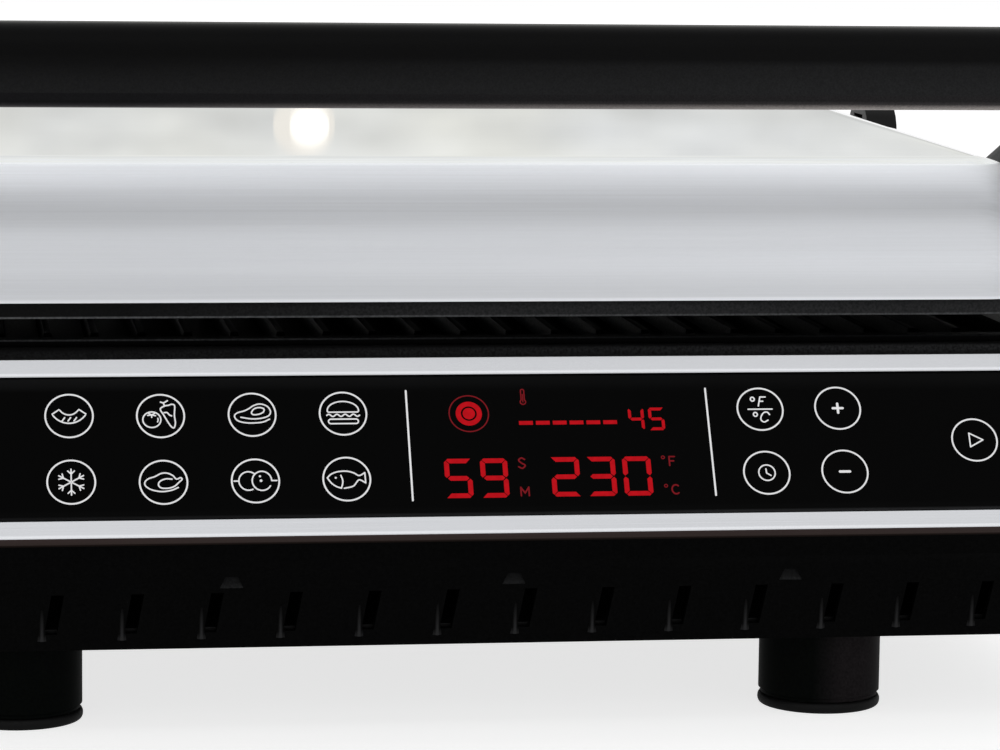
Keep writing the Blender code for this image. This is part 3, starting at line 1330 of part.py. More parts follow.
def build_hinge_arms(lid):
    """Model the two hinge arms: a plate on the lid's rear face and an eye on the shaft."""
    low = SHELL_LOW + FIT
    high = low + HINGE_PLATE_HEIGHT
    outline = [
        (wall_rear_y(low) + FIT, low),
        (HINGE_Y, HINGE_Z - EYE_RADIUS * EYE_TANGENT_SHARE),
        (HINGE_Y + EYE_RADIUS * EYE_TANGENT_SHARE, HINGE_Z),
        (wall_rear_y(high) + FIT + HINGE_PLATE_THICKNESS, high),
        (wall_rear_y(high) + FIT, high),
    ]
    for name, side in (("left", -1), ("right", 1)):
        x = side * EYE_X
        arm = prism(f"hinge_arm_{name}", outline, x - EYE_WIDTH / 2, x + EYE_WIDTH / 2, "X")
        join(arm, cylinder("eye", EYE_RADIUS, -EYE_WIDTH / 2, EYE_WIDTH / 2, (x, HINGE_Y, HINGE_Z), "X"))
        cut(arm, cylinder("bore", SHAFT_RADIUS + FIT, -EYE_WIDTH, EYE_WIDTH, (x, HINGE_Y, HINGE_Z), "X"))
        finish(arm, "black_plastic", lid)


def build_carriage(carriage):
    """Model the hinge shaft and the two sliders that ride up and down in the towers."""
    depth = TOWER_THICKNESS - TOWER_SKIN
    end = TOWER_INNER_X + depth - 2 * FIT
    bore_end = end - TOWER_SKIN
    shaft = cylinder("hinge_shaft", SHAFT_RADIUS, -bore_end + FIT, bore_end - FIT, (0, HINGE_Y, HINGE_Z), "X")
    finish(shaft, "bright_steel", carriage)
    for name, side in (("left", -1), ("right", 1)):
        slider = block(
            f"hinge_slider_{name}", sorted((side * (TOWER_INNER_X + FIT), side * end)),
            (HINGE_Y - SLIDER_HALF_WIDTH, HINGE_Y + SLIDER_HALF_WIDTH),
            (HINGE_Z - SLIDER_HALF_HEIGHT, HINGE_Z + SLIDER_HALF_HEIGHT),
        )
        span = sorted((side * (TOWER_INNER_X - OVERRUN), side * bore_end))
        cut(slider, cylinder("bore", SHAFT_RADIUS + FIT, *span, (0, HINGE_Y, HINGE_Z), "X"))
        finish(slider, "satin_black", carriage)


def build_towers(root):
    """Model the two hinge towers: cheeks with a closed outer skin and a slot for the slider inside."""
    top = HINGE_Z + HINGE_FLOAT + SLIDER_HALF_HEIGHT + TOWER_WALL / 2
    rear = HINGE_Y + SLIDER_HALF_WIDTH + TOWER_WALL
    front = HINGE_Y - SLIDER_HALF_WIDTH - TOWER_WALL
    foot = BASE_TOP + FIT
    behind = BACK_Y + FIT
    arc = [
        (
            rear - TOWER_ROUND + TOWER_ROUND * cos(i / CORNER_STEPS * pi / 2),
            top - TOWER_ROUND + TOWER_ROUND * sin(i / CORNER_STEPS * pi / 2),
        )
        for i in range(CORNER_STEPS + 1)
    ]
    front_arc = [
        (
            front + TOWER_ROUND - TOWER_ROUND * sin(i / CORNER_STEPS * pi / 2),
            top - TOWER_ROUND + TOWER_ROUND * cos(i / CORNER_STEPS * pi / 2),
        )
        for i in range(CORNER_STEPS + 1)
    ]
    outline = arc + front_arc + [
        (HINGE_Y - TOWER_FRONT, foot),
        (behind, foot),
        (behind, foot - TOWER_DROP),
        (rear - TOWER_ROUND, foot - TOWER_DROP),
        (rear, foot - TOWER_DROP + TOWER_ROUND),
    ]
    for name, side in (("left", -1), ("right", 1)):
        near = side * TOWER_INNER_X
        far = side * (TOWER_INNER_X + TOWER_THICKNESS)
        tower = prism(f"hinge_tower_{name}", outline, min(near, far), max(near, far), "X")
        slot_end = side * (TOWER_INNER_X + TOWER_THICKNESS - TOWER_SKIN)
        slot = block(
            "slot", sorted((side * (TOWER_INNER_X - OVERRUN), slot_end)),
            (HINGE_Y - SLIDER_HALF_WIDTH - FIT, HINGE_Y + SLIDER_HALF_WIDTH + FIT),
            (HINGE_Z - SLIDER_HALF_HEIGHT - FIT, HINGE_Z + HINGE_FLOAT + SLIDER_HALF_HEIGHT + FIT),
        )
        finish(cut(tower, slot), "black_plastic", root)


def arm_mount():
    """Return the (y, z) where a handle arm bolts to the lid's side."""
    return LATCH_Y + ARM_MOUNT_BEHIND_LATCH, SHELL_LOW + ARM_MOUNT_ABOVE


def handle_section(inset=0.0):
    """Return the handle bar's section, a deep round-cornered rectangle."""
    return rounded_outline(
        (HANDLE_FRONT_Y + inset, HANDLE_LOW + inset),
        (HANDLE_FRONT_Y + HANDLE_DEPTH - inset, HANDLE_LOW + HANDLE_HEIGHT - inset), HANDLE_ROUND - inset,
    )


def arm_outline():
    """Return a handle arm's side view: the bar's section run back and down to a round end."""
    y, z = arm_mount()
    slope = Vector((
        y - HANDLE_FRONT_Y - HANDLE_DEPTH, z - HANDLE_LOW - HANDLE_HEIGHT / 2
    )).normalized()
    square = Vector((-slope.y, slope.x))
    end = []
    for i in range(2 * CORNER_STEPS + 1):
        turn = i / (2 * CORNER_STEPS) * pi - pi / 2
        out = slope * cos(turn) + square * sin(turn)
        end.append((y + ARM_END_RADIUS * out.x, z + ARM_END_RADIUS * out.y))
    bar_corners = handle_section()[:3 * (CORNER_STEPS + 1)]
    return bar_corners + end


def build_handle(lid):
    """Model the handle: a full-width bar between two arms, and the four bolts that hold it."""
    bar = prism("handle_bar", handle_section(), -ARM_INNER_X + FIT, ARM_INNER_X - FIT, "X")
    middle = (HANDLE_FRONT_Y + HANDLE_DEPTH / 2, HANDLE_LOW + HANDLE_HEIGHT / 2)
    outer_x = ARM_INNER_X + ARM_THICKNESS
    head_seat = outer_x - BOLT_HEAD_HEIGHT - FIT
    shank_end = head_seat - BOLT_LENGTH
    places = {"front": middle, "rear": arm_mount()}
    for name, side in (("left", -1), ("right", 1)):
        hole = sorted((side * (shank_end - FIT), side * (ARM_INNER_X + OVERRUN)))
        cut(bar, cylinder("bolt_hole", BOLT_RADIUS + FIT, *hole, (0, *middle), "X", PIN_STEPS))
        span = sorted((side * ARM_INNER_X, side * outer_x))
        arm = prism(f"handle_arm_{name}", arm_outline(), *span, "X", end_radius=ARM_BEVEL)
        boss_x = LID_HALF_WIDTH - lid_inset(ARM_MOUNT_ABOVE - ARM_BOSS_RADIUS) + FIT
        boss = sorted((side * boss_x, side * (ARM_INNER_X + ARM_THICKNESS / 2)))
        join(arm, cylinder("boss", ARM_BOSS_RADIUS, *boss, (0, *arm_mount()), "X", BOSS_STEPS))
        for place in places.values():
            shank = sorted((side * (ARM_INNER_X - 2 * OVERRUN), side * (outer_x + OVERRUN)))
            head = sorted((side * head_seat, side * (outer_x + OVERRUN)))
            cut(arm, cylinder("shank_hole", BOLT_RADIUS + FIT, *shank, (0, *place), "X", PIN_STEPS))
            cut(arm, cylinder("head_hole", BOLT_HEAD_RADIUS + FIT, *head, (0, *place), "X", BOSS_STEPS))
        finish(arm, "satin_black", lid)
        for row, place in places.items():
            profile = [
                (0, side * shank_end),
                (BOLT_RADIUS, side * shank_end),
                (BOLT_RADIUS, side * (head_seat + FIT)),
                (BOLT_HEAD_RADIUS, side * (head_seat + FIT)),
                (BOLT_HEAD_RADIUS, side * (outer_x - FIT)),
                (0, side * (outer_x - FIT)),
            ]
            bolt = revolve(f"handle_bolt_{row}_{name}", profile, (0, *place), "X", PIN_STEPS)
            finish(bolt, "bright_steel", lid)
    return finish(bar, "satin_black", lid)


def build():
    """Build the grill, piece by piece, on the empties that mark its joints."""
    clear_scene()
    root = empty("frame_root", (0, 0, 0))
    carriage = empty("slide_hinge_float", (0, HINGE_Y, HINGE_Z))
    lid = empty("pivot_lid", (0, HINGE_Y, HINGE_Z))
    build_housing(root)
    build_cover(root)
    build_screws(root)
    build_power_board(root)
    build_feet(root)
    build_panel(root)
    build_lower_plate(root)
    build_heater("lower", LOWER_PLATE_LOW, -1, reflector_half(WALL_INNER_X), root)
    build_fittings(root)
    build_towers(root)
    build_carriage(carriage)
    build_lid_shell(lid)
    build_lid_frame(lid)
    build_upper_plate(lid)
    build_heater("upper", UPPER_PLATE_TOP, 1, reflector_half(lid_wall_x()), lid)
    build_hinge_arms(lid)
    build_handle(lid)
    build_tray()
    build_latch("lower", WALL_INNER_X, HALF_WIDTH, lower_latch_z(), root)
    build_latch("upper", lid_wall_x(), LID_HALF_WIDTH, upper_latch_z(), lid)


build()
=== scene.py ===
"""Looks of a countertop contact grill: finishes, fine surfaces, panel print, lamps and camera.

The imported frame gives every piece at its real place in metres: +Z up, origin on the table under the
middle of the grill, front facing -Y. Each sub-assembly is a class whose fields are its sizes.
"""

from __future__ import annotations

import json
import logging
from dataclasses import dataclass, field
from enum import Enum
from math import cos, pi, radians, sin, tan

import bmesh
import bpy
import numpy as np
from mathutils import Matrix, Vector

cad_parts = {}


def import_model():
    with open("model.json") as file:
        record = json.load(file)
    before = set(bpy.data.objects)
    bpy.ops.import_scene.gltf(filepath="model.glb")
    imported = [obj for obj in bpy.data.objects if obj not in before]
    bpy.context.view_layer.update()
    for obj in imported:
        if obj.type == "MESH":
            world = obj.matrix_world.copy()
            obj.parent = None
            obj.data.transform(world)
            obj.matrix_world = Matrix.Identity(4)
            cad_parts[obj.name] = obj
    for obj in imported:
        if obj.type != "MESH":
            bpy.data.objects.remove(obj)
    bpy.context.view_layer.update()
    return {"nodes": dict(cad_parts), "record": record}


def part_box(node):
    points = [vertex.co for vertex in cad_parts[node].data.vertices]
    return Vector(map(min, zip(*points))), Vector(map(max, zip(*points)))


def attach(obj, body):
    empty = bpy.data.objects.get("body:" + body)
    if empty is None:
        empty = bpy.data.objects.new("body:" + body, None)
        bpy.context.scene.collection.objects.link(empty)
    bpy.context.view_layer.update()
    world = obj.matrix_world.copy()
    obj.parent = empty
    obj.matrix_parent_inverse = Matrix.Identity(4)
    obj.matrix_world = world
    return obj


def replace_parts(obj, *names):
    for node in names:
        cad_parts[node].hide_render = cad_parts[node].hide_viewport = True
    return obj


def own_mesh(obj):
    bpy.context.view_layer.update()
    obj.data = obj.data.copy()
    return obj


LOG = logging.getLogger("grill")
MM = 0.001
WHITE = (1.0, 1.0, 1.0, 1.0)
BLACK = (0.0, 0.0, 0.0, 1.0)

Pair = tuple[float, float]
Triple = tuple[float, float, float]
Colour = tuple[float, float, float]
Stops = tuple[tuple[float, Colour], ...]
Socket = bpy.types.NodeSocket


def greys(*pairs: Pair) -> Stops:
    """Return stops of plain grey from pairs of (height in millimetres, grey)."""
    return tuple((height * MM, (grey * 0.98, grey, grey * 1.04)) for height, grey in pairs)


def both_sides(*rows: Triple) -> dict[str, Stops]:
    """Return the stops of both sides from rows of (height in millimetres, left grey, right grey)."""
    return {"left": greys(*((height, left) for height, left, _ in rows)),
            "right": greys(*((height, right) for height, _, right in rows))}


def even(density: float) -> Triple:
    """Return the same number of cells per metre along each axis."""
    return density, density, density


def put(name: str, data: bpy.types.ID) -> bpy.types.Object:
    """Return a new object that shows that data, put into the scene."""
    made = bpy.data.objects.new(name, data)
    bpy.context.scene.collection.objects.link(made)
    return made


class Axis(Enum):
    """The axis that a turned surface goes round, as the order its (across, across, along) fill x, y, z."""

    X = (1, 2, 0)
    Y = (0, 2, 1)
    Z = (0, 1, 2)


class Body(Enum):
    """The bodies of the frame that carry the surfaces made here."""

    ROOT = "root"
    LID = "lid"


class Nodes:
    """A node tree with short calls for the nodes that the finishes and the surround share."""

    def __init__(self, owner: bpy.types.Material | bpy.types.World) -> None:
        """Take the tree of a material or a world."""
        owner.use_nodes = True
        self.nodes, self.links = owner.node_tree.nodes, owner.node_tree.links

    def node(self, kind: str, output: str, inputs: dict[str | int, object], **settings: str) -> Socket:
        """Add a node and return one of its outputs.

        Args:
            kind: The node's type.
            output: The name of the output to return.
            inputs: For each input, the socket it is linked to or its value.
            settings: The node's own settings.
        """
        made = self.nodes.new(f"ShaderNode{kind}")
        for name, value in settings.items():
            setattr(made, name, value)
        for name, value in inputs.items():
            if isinstance(value, Socket):
                self.links.new(value, made.inputs[name])
            else:
                made.inputs[name].default_value = value
        return made.outputs[output]

    def place(self, stretch: Triple = (1.0, 1.0, 1.0)) -> Socket:
        """Return object coordinates scaled by a number for each axis."""
        return self.node("Mapping", "Vector", {"Vector": self.node("TexCoord", "Object", {}), "Scale": stretch})

    def noise(self, stretch: Triple, detail: float = 2.0) -> Socket:
        """Return noise whose cells repeat that many times per metre along each axis."""
        return self.node("TexNoise", "Fac", {"Scale": 1.0, "Detail": detail, "Vector": self.place(stretch)})

    def speckle(self, density: float) -> Socket:
        """Return the distance to scattered points, that many per metre."""
        return self.node("TexVoronoi", "Distance", {"Scale": density, "Vector": self.place()})

    def span(self, source: Socket, low: float, high: float, start: float = 0.3, end: float = 0.7) -> Socket:
        """Map a value from start..end onto low..high."""
        inputs = {"Value": source, "From Min": start, "From Max": end, "To Min": low, "To Max": high}
        return self.node("MapRange", "Result", inputs)

    def along(self, axis: Axis) -> Socket:
        """Return the place of the surface along an axis, in object coordinates."""
        return self.node("SeparateXYZ", axis.name, {"Vector": self.place()})

    def ramp(self, source: Socket, stops: Stops) -> Socket:
        """Return the colour that a value has between stops of (value, colour)."""
        low, high = stops[0][0], stops[-1][0]
        made = self.nodes.new("ShaderNodeValToRGB")
        elements = made.color_ramp.elements
        elements.remove(elements[1])
        elements[0].position = 0.0
        elements[0].color = (*stops[0][1], 1.0)
        for value, colour in stops[1:]:
            elements.new((value - low) / (high - low)).color = (*colour, 1.0)
        self.links.new(self.span(source, 0.0, 1.0, low, high), made.inputs["Fac"])
        return made.outputs["Color"]

    def join(self, share: Socket | float, first: Socket, second: Socket, kind: str = "MIX") -> Socket:
        """Mix or multiply two linked colours by a share."""
        inputs = {"Factor": share, "A": first, "B": second}
        return self.node("Mix", "Result", inputs, data_type="RGBA", blend_type=kind)

    def total(self, first: Socket, second: Socket, kind: str = "ADD") -> Socket:
        """Return the sum of two values, or another sum of that kind."""
        return self.node("Math", "Value", {0: first, 1: second}, operation=kind)

    def swing(self, source: Socket, pitch: float) -> Socket:
        """Return a value's distance from the nearest whole number of pitches."""
        return self.node("Math", "Value", {0: source, 1: pitch / 2}, operation="PINGPONG")

    def blend(self, share: Socket, first: Socket, second: float) -> Socket:
        """Mix a linked value and a plain one by a share."""
        return self.node("Mix", "Result", {"Factor": share, "A": first, "B": second})

    def mix(self, share: Socket, first: Colour, second: Colour) -> Socket:
        """Mix two colours by a share."""
        inputs = {"Factor": share, "A": (*first, 1.0), "B": (*second, 1.0)}
        return self.node("Mix", "Result", inputs, data_type="RGBA")


class NodeTree(Nodes):
    """The node tree of a new material that holds one Principled shader."""

    def __init__(self, name: str) -> None:
        """Start the material."""
        self.material = bpy.data.materials.new(name)
        super().__init__(self.material)
        self.shader = self.nodes["Principled BSDF"]

    def set(self, **values: object) -> None:
        """Set shader sockets; an underscore in a name stands for a space."""
        for name, value in values.items():
            self.shader.inputs[name.replace("_", " ")].default_value = value

    def feed(self, name: str, source: Socket) -> None:
        """Link a socket to the shader's input of that name."""
        self.links.new(source, self.shader.inputs[name])

    def relief(self, height: Socket, depth: float) -> None:
        """Raise the surface by a height map of that depth in metres."""
        self.feed("Normal", self.node("Bump", "Normal", {"Distance": depth, "Strength": 1.0, "Height": height}))


@dataclass(frozen=True)
class Finish:
    """A surface finish with a fine grain in its tint, its gloss and its relief.

    The grain's cells repeat `grain` times per metre along each axis.
    """

    name: str
    colour: Colour
    roughness: float
    metallic: float = 0.0
    specular: float = 0.5
    grain: Triple = even(1400.0)
    gloss_spread: float = 0.06
    tint_spread: float = 0.12
    relief: float = 0.0

    def tints(self) -> tuple[Colour, Colour]:
        """Return the darker and the lighter tint of the grain."""
        dark = tuple(c * (1 - self.tint_spread) for c in self.colour)
        light = tuple(min(1.0, c * (1 + self.tint_spread)) for c in self.colour)
        return dark, light

    def build(self) -> bpy.types.Material:
        """Return the material, made on its first use."""
        name = f"finish_{self.name}"
        found = bpy.data.materials.get(name)
        if found:
            return found
        tree = NodeTree(name)
        tree.set(Metallic=self.metallic, Specular_IOR_Level=self.specular)
        self.dress(tree)
        return tree.material

    def dress(self, tree: NodeTree) -> None:
        """Link the grain to the shader."""
        grain = tree.noise(self.grain)
        tree.feed("Base Color", tree.mix(tree.span(grain, 0.0, 1.0), *self.tints()))
        self.dress_surface(tree, grain)

    def gloss(self, tree: NodeTree, grain: Socket) -> Socket:
        """Return the roughness, which the grain varies."""
        return tree.span(grain, self.roughness - self.gloss_spread, self.roughness + self.gloss_spread)

    def dress_surface(self, tree: NodeTree, grain: Socket) -> None:
        """Link the grain to the roughness and, in a finish that has one, to the relief."""
        tree.feed("Roughness", self.gloss(tree, grain))
        if self.relief:
            tree.relief(grain, self.relief)


@dataclass(frozen=True)
class SprayedFinish(Finish):
    """A sprayed non-stick coating: a dark base with sparse lighter flecks."""

    fleck: Colour = (0.08, 0.08, 0.08)
    density: float = 900.0
    edge: Pair = (0.05, 0.28)

    def dress(self, tree: NodeTree) -> None:
        """Link the flecks to the tint and the grain to gloss and relief."""
        flecks = tree.span(tree.speckle(self.density), 1.0, 0.0, *self.edge)
        tree.feed("Base Color", tree.mix(flecks, self.colour, self.fleck))
        self.dress_surface(tree, tree.noise(self.grain))


@dataclass(frozen=True)
class LightFinish(Finish):
    """A lit mark, or a printed mark given a painted glow, that shows its own colour at a given strength."""

    strength: float = 1.0
    dimming: float = 6.0

    def dress(self, tree: NodeTree) -> None:
        """Set the light and a faint unevenness along it."""
        grain = tree.span(tree.noise(self.grain), 0.0, 1.0)
        tree.set(Roughness=self.roughness, Emission_Strength=self.strength)
        tree.set(Base_Color=(*(c / self.dimming for c in self.colour), 1.0))
        tree.feed("Emission Color", tree.mix(grain, *self.tints()))


@dataclass(frozen=True)
class FinFinish(Finish):
    """Moulded plastic with a painted highlight along each fin's ridge and round its foot."""

    worn: Colour = (0.028, 0.028, 0.029)
    pitch: float = 21.4 * MM
    ridge: Pair = (0.10 * MM, 0.60 * MM)
    foot: Pair = (26.4 * MM, 27.8 * MM)
    tip: float = 34.5 * MM
    faint: float = 0.1
    foot_glint: float = 0.5

    def dress(self, tree: NodeTree) -> None:
        """Link the painted highlight on the ridge, which fades towards the fin's tip, and the painted highlight
        round the foot.
        """
        height = tree.along(Axis.Z)
        line = tree.span(tree.swing(tree.along(Axis.X), self.pitch), 1.0, 0.0, *self.ridge)
        fade = tree.span(height, 1.0, self.faint, self.foot[1], self.tip)
        base = tree.span(height, self.foot_glint, 0.0, *self.foot)
        share = tree.total(tree.total(line, fade, "MULTIPLY"), base)
        tree.feed("Base Color", tree.mix(share, self.colour, self.worn))
        tree.set(Roughness=self.roughness)


@dataclass(frozen=True)
class GradedFinish(Finish):
    """A finish whose tint follows the height, from one set of stops on the left to another on the right; the
    stops paint light and shade onto the surface.
    """

    left: Stops = ()
    right: Stops = ()
    start: float = -85.0 * MM
    end: float = 110.0 * MM

    def height(self, tree: NodeTree) -> Socket:
        """Return the height that the stops are measured by."""
        return tree.along(Axis.Z)

    def tint(self, tree: NodeTree) -> Socket:
        """Return the graded colour with the grain in it."""
        height = self.height(tree)
        share = tree.span(tree.along(Axis.X), 0.0, 1.0, self.start, self.end)
        colour = tree.join(share, tree.ramp(height, self.left), tree.ramp(height, self.right or self.left))
        grain = tree.span(tree.noise(self.grain), 1.0 - self.tint_spread, 1.0 + self.tint_spread)
        return tree.join(1.0, colour, grain, "MULTIPLY")

    def dress(self, tree: NodeTree) -> None:
        """Link the graded tint, and the grain to gloss and relief."""
        tree.feed("Base Color", self.tint(tree))
        self.dress_surface(tree, tree.noise(self.grain))


@dataclass(frozen=True)
class RolledFinish(GradedFinish):
    """Steel that is brushed along x on its sides and polished on its deck, which climbs towards the rear; its
    graded tint paints reflections onto it.
    """

    polish: float = 0.04
    deck_low: float = 151.2 * MM
    deck_high: float = 151.9 * MM
    stretch: float = 0.75
    turn: float = 0.25
    front: float = -128.0 * MM
    rear: float = 134.0 * MM
    climb: float = 3.66 * MM

    def height(self, tree: NodeTree) -> Socket:
        """Return the height with the deck's climb taken out."""
        lift = tree.span(tree.along(Axis.Y), 0.0, -self.climb, self.front, self.rear)
        return tree.total(tree.along(Axis.Z), lift)

    def dress(self, tree: NodeTree) -> None:
        """Link the grain to tint and gloss, and let the gloss and the brushing's stretch follow the height."""
        grain = tree.noise(self.grain)
        tree.feed("Base Color", self.tint(tree))
        deck = tree.span(self.height(tree), 0.0, 1.0, self.deck_low, self.deck_high)
        tree.feed("Roughness", tree.blend(deck, self.gloss(tree, grain), self.polish))
        tree.feed("Anisotropic", tree.span(deck, self.stretch, 0.0, 0.0, 1.0))
        tree.set(Anisotropic_Rotation=self.turn)


class Finishes:
    """The finishes of the grill."""

    # Painted reflections: the grey stops by height paint a bright band high on the rolled edge, a dark band
    # below it where the handle is mirrored, a bright line on the low hem, and a lighter right side.
    ROLLED = RolledFinish("rolled_steel", (0.76, 0.77, 0.79), 0.50, metallic=1.0, grain=(9.0, 1500.0, 1500.0),
                          gloss_spread=0.05, tint_spread=0.04,
                          **both_sides((115.1, 0.84, 0.88), (115.7, 0.82, 0.86), (116.2, 0.70, 0.73),
                                       (118.5, 0.68, 0.72), (121.0, 0.70, 0.76), (124.0, 0.745, 0.82),
                                       (127.0, 0.745, 0.83), (130.5, 0.75, 0.79), (133.5, 0.73, 0.78),
                                       (136.5, 0.66, 0.76), (139.5, 0.70, 0.75), (142.5, 0.81, 0.82),
                                       (146.0, 0.90, 0.845), (148.5, 0.905, 0.86), (150.5, 0.89, 0.915),
                                       (151.8, 0.93, 0.93), (152.5, 0.90, 0.90), (153.0, 0.75, 0.75)))
    BEZEL = Finish("bezel_steel", (0.620, 0.630, 0.655), 0.17, metallic=1.0, grain=(14.0, 5200.0, 5200.0),
                   gloss_spread=0.03, tint_spread=0.03)
    BRIGHT = Finish("bright_steel", (0.52, 0.52, 0.52), 0.24, metallic=1.0, gloss_spread=0.05, tint_spread=0.04)
    # Painted reflections: the stops paint a light line along the glass's low edge, brighter on the right, and a
    # lighter sheen near its top, brighter on the left, over near-black glass.
    GLASS = GradedFinish("panel_glass", (0.0012, 0.0012, 0.0015), 0.06, specular=0.025, grain=even(60.0),
                         gloss_spread=0.01, tint_spread=0.1,
                         left=greys((59.2, 0.0180), (59.8, 0.0120), (60.2, 0.0008), (91.0, 0.0008),
                                    (92.5, 0.0090), (95.0, 0.0170)),
                         right=greys((59.2, 0.0420), (59.7, 0.0300), (60.1, 0.0012), (90.0, 0.0012),
                                     (92.5, 0.0060), (95.0, 0.0070)))
    # Painted reflection: the lip's steel is darkened to a brown that stands in for dark surroundings mirrored
    # in it, and painted darker still near its foot.
    LIP = GradedFinish("lip_steel", (0.050, 0.036, 0.034), 0.40, metallic=1.0, grain=(14.0, 5200.0, 5200.0),
                       gloss_spread=0.04, tint_spread=0.10,
                       left=((52.50 * MM, (0.008, 0.006, 0.005)), (52.90 * MM, (0.015, 0.010, 0.009)),
                             (53.25 * MM, (0.046, 0.034, 0.031)), (54.90 * MM, (0.050, 0.035, 0.034))))
    # Painted glow: the printed marks emit light of their own, though they are ink and no lamp.
    PRINT = LightFinish("glowing_panel_print", (0.75, 0.75, 0.76), 0.5, specular=0.0, grain=even(300.0),
                        tint_spread=0.05, strength=0.95)
    LED = LightFinish("led_red", (0.43, 0.0060, 0.0105), 0.4, specular=0.0, grain=even(700.0),
                      tint_spread=0.10, strength=1.0)
    LED_DIM = LightFinish("led_red_dim", (0.17, 0.010, 0.014), 0.4, specular=0.0, grain=even(700.0),
                          tint_spread=0.10, strength=1.0)
    MOULDED = Finish("black_moulding", (0.0048, 0.0048, 0.0050), 0.40, specular=0.13, tint_spread=0.25,
                     relief=0.012 * MM)
    # Painted highlights: a light line along each fin's ridge, fading towards its tip, and a light band round
    # its foot.
    FIN = FinFinish("fin_moulding", (0.0012, 0.0012, 0.0012), 0.5, specular=0.03)
    # Painted light: each catch window is lighter at its low edge and darker towards its top.
    CATCH = GradedFinish("worn_catch", (0.01, 0.01, 0.01), 0.5, specular=0.04, tint_spread=0.5,
                         relief=0.02 * MM, left=greys((40.1, 0.0190), (41.2, 0.0085), (43.3, 0.0045)))
    # Painted light from the right: each right-hand stub turns from dark on its left to lighter on its right;
    # the left-hand stubs stay dark.
    FOOT = GradedFinish("foot_moulding", (0.002, 0.002, 0.002), 0.45, specular=0.012, tint_spread=0.3,
                        relief=0.012 * MM, start=107.0 * MM, end=115.0 * MM,
                        left=((0.0, (0.0020, 0.0026, 0.0023)), (1.0, (0.0020, 0.0026, 0.0023))),
                        right=((0.0, (0.0125, 0.0108, 0.0116)), (1.0, (0.0125, 0.0108, 0.0116))))
    # Painted light: the stops paint a lighter band round the housing's rim, lighter again on the right, with
    # near-black below and above it.
    HOUSING = GradedFinish("housing_moulding", (0.0008, 0.0008, 0.0009), 0.42, specular=0.024, tint_spread=0.6,
                           relief=0.012 * MM,
                           left=greys((96.0, 0.0012), (97.5, 0.0175), (99.8, 0.0160), (101.0, 0.0100),
                                      (102.0, 0.0010)),
                           right=greys((96.0, 0.0012), (97.5, 0.0250), (99.4, 0.0170), (100.4, 0.0230),
                                       (101.4, 0.0250), (102.1, 0.0010)))
    # Painted highlight and shade: a bright line along the frame's low edge, and a lighter right side.
    FRAME = GradedFinish("frame_moulding", (0.0085, 0.0085, 0.0100), 0.40, specular=0.05, tint_spread=0.35,
                         relief=0.012 * MM,
                         left=greys((110.6, 0.145), (111.0, 0.135), (111.2, 0.0066), (114.0, 0.0066),
                                    (115.1, 0.0090)),
                         right=greys((110.6, 0.105), (111.0, 0.100), (111.2, 0.0360), (113.5, 0.0380),
                                     (115.1, 0.0200)), end=15.0 * MM)
    # Painted light and shade: the handle is lighter low on its face, darker towards its top, and lighter on the
    # right.
    HANDLE = GradedFinish("handle_black", (0.010, 0.010, 0.011), 0.42, specular=0.05, tint_spread=0.22,
                          grain=even(2200.0), relief=0.010 * MM,
                          left=greys((169.6, 0.0220), (172.0, 0.0175), (178.0, 0.0095), (181.5, 0.0040),
                                     (184.0, 0.0020), (192.0, 0.0025)),
                          right=greys((169.6, 0.0290), (172.0, 0.0235), (178.0, 0.0175), (181.3, 0.0140),
                                      (183.2, 0.0035), (192.0, 0.0025)))
    # Painted highlight: a light line along the handle's front low edge, far brighter on the right.
    HANDLE_EDGE = GradedFinish("handle_low_edge", (0.05, 0.05, 0.05), 0.40, specular=0.05, tint_spread=0.25,
                               grain=even(2200.0),
                               left=((169.6 * MM, (0.090, 0.080, 0.078)), (170.3 * MM, (0.024, 0.022, 0.024)),
                                     (171.3 * MM, (0.009, 0.009, 0.010)), (173.0 * MM, (0.009, 0.009, 0.010))),
                               right=((169.6 * MM, (0.600, 0.550, 0.520)), (170.5 * MM, (0.340, 0.310, 0.295)),
                                      (171.3 * MM, (0.060, 0.056, 0.057)), (172.2 * MM, (0.022, 0.021, 0.022))))
    SATIN = Finish("satin_black", (0.0022, 0.0022, 0.0024), 0.42, specular=0.14, grain=even(2200.0),
                   relief=0.010 * MM)
    RUBBER = Finish("rubber", (0.0028, 0.0028, 0.003), 0.60, specular=0.12, relief=0.02 * MM)
    CAST = SprayedFinish("cast_coating", (0.0060, 0.0059, 0.0058), 0.48, specular=0.012,
                         relief=0.03 * MM, fleck=(0.022, 0.021, 0.020))
    # Painted highlight: a light line along the top of the lower plate's front rim, brighter on the left.
    PLATE = GradedFinish("cast_plate_edge", (0.0060, 0.0059, 0.0058), 0.48, specular=0.012, tint_spread=0.4,
                         relief=0.03 * MM, end=80.0 * MM,
                         **both_sides((102.6, 0.0020, 0.0020), (103.7, 0.0020, 0.0020), (103.9, 0.0500, 0.0080),
                                      (104.2, 0.0500, 0.0080), (104.3, 0.0060, 0.0060)))
    BOARD = Finish("circuit_board", (0.010, 0.075, 0.030), 0.45, grain=even(500.0), tint_spread=0.4)
    ELEMENT = Finish("element_alloy", (0.16, 0.135, 0.12), 0.5, metallic=1.0, grain=even(240.0),
                     gloss_spread=0.1, tint_spread=0.35)
    REFLECTOR = Finish("aluminised_steel", (0.52, 0.53, 0.54), 0.36, metallic=1.0, grain=even(160.0),
                       gloss_spread=0.1, tint_spread=0.08)
    BRASS = Finish("sensor_brass", (0.58, 0.42, 0.17), 0.32, metallic=1.0, gloss_spread=0.08)


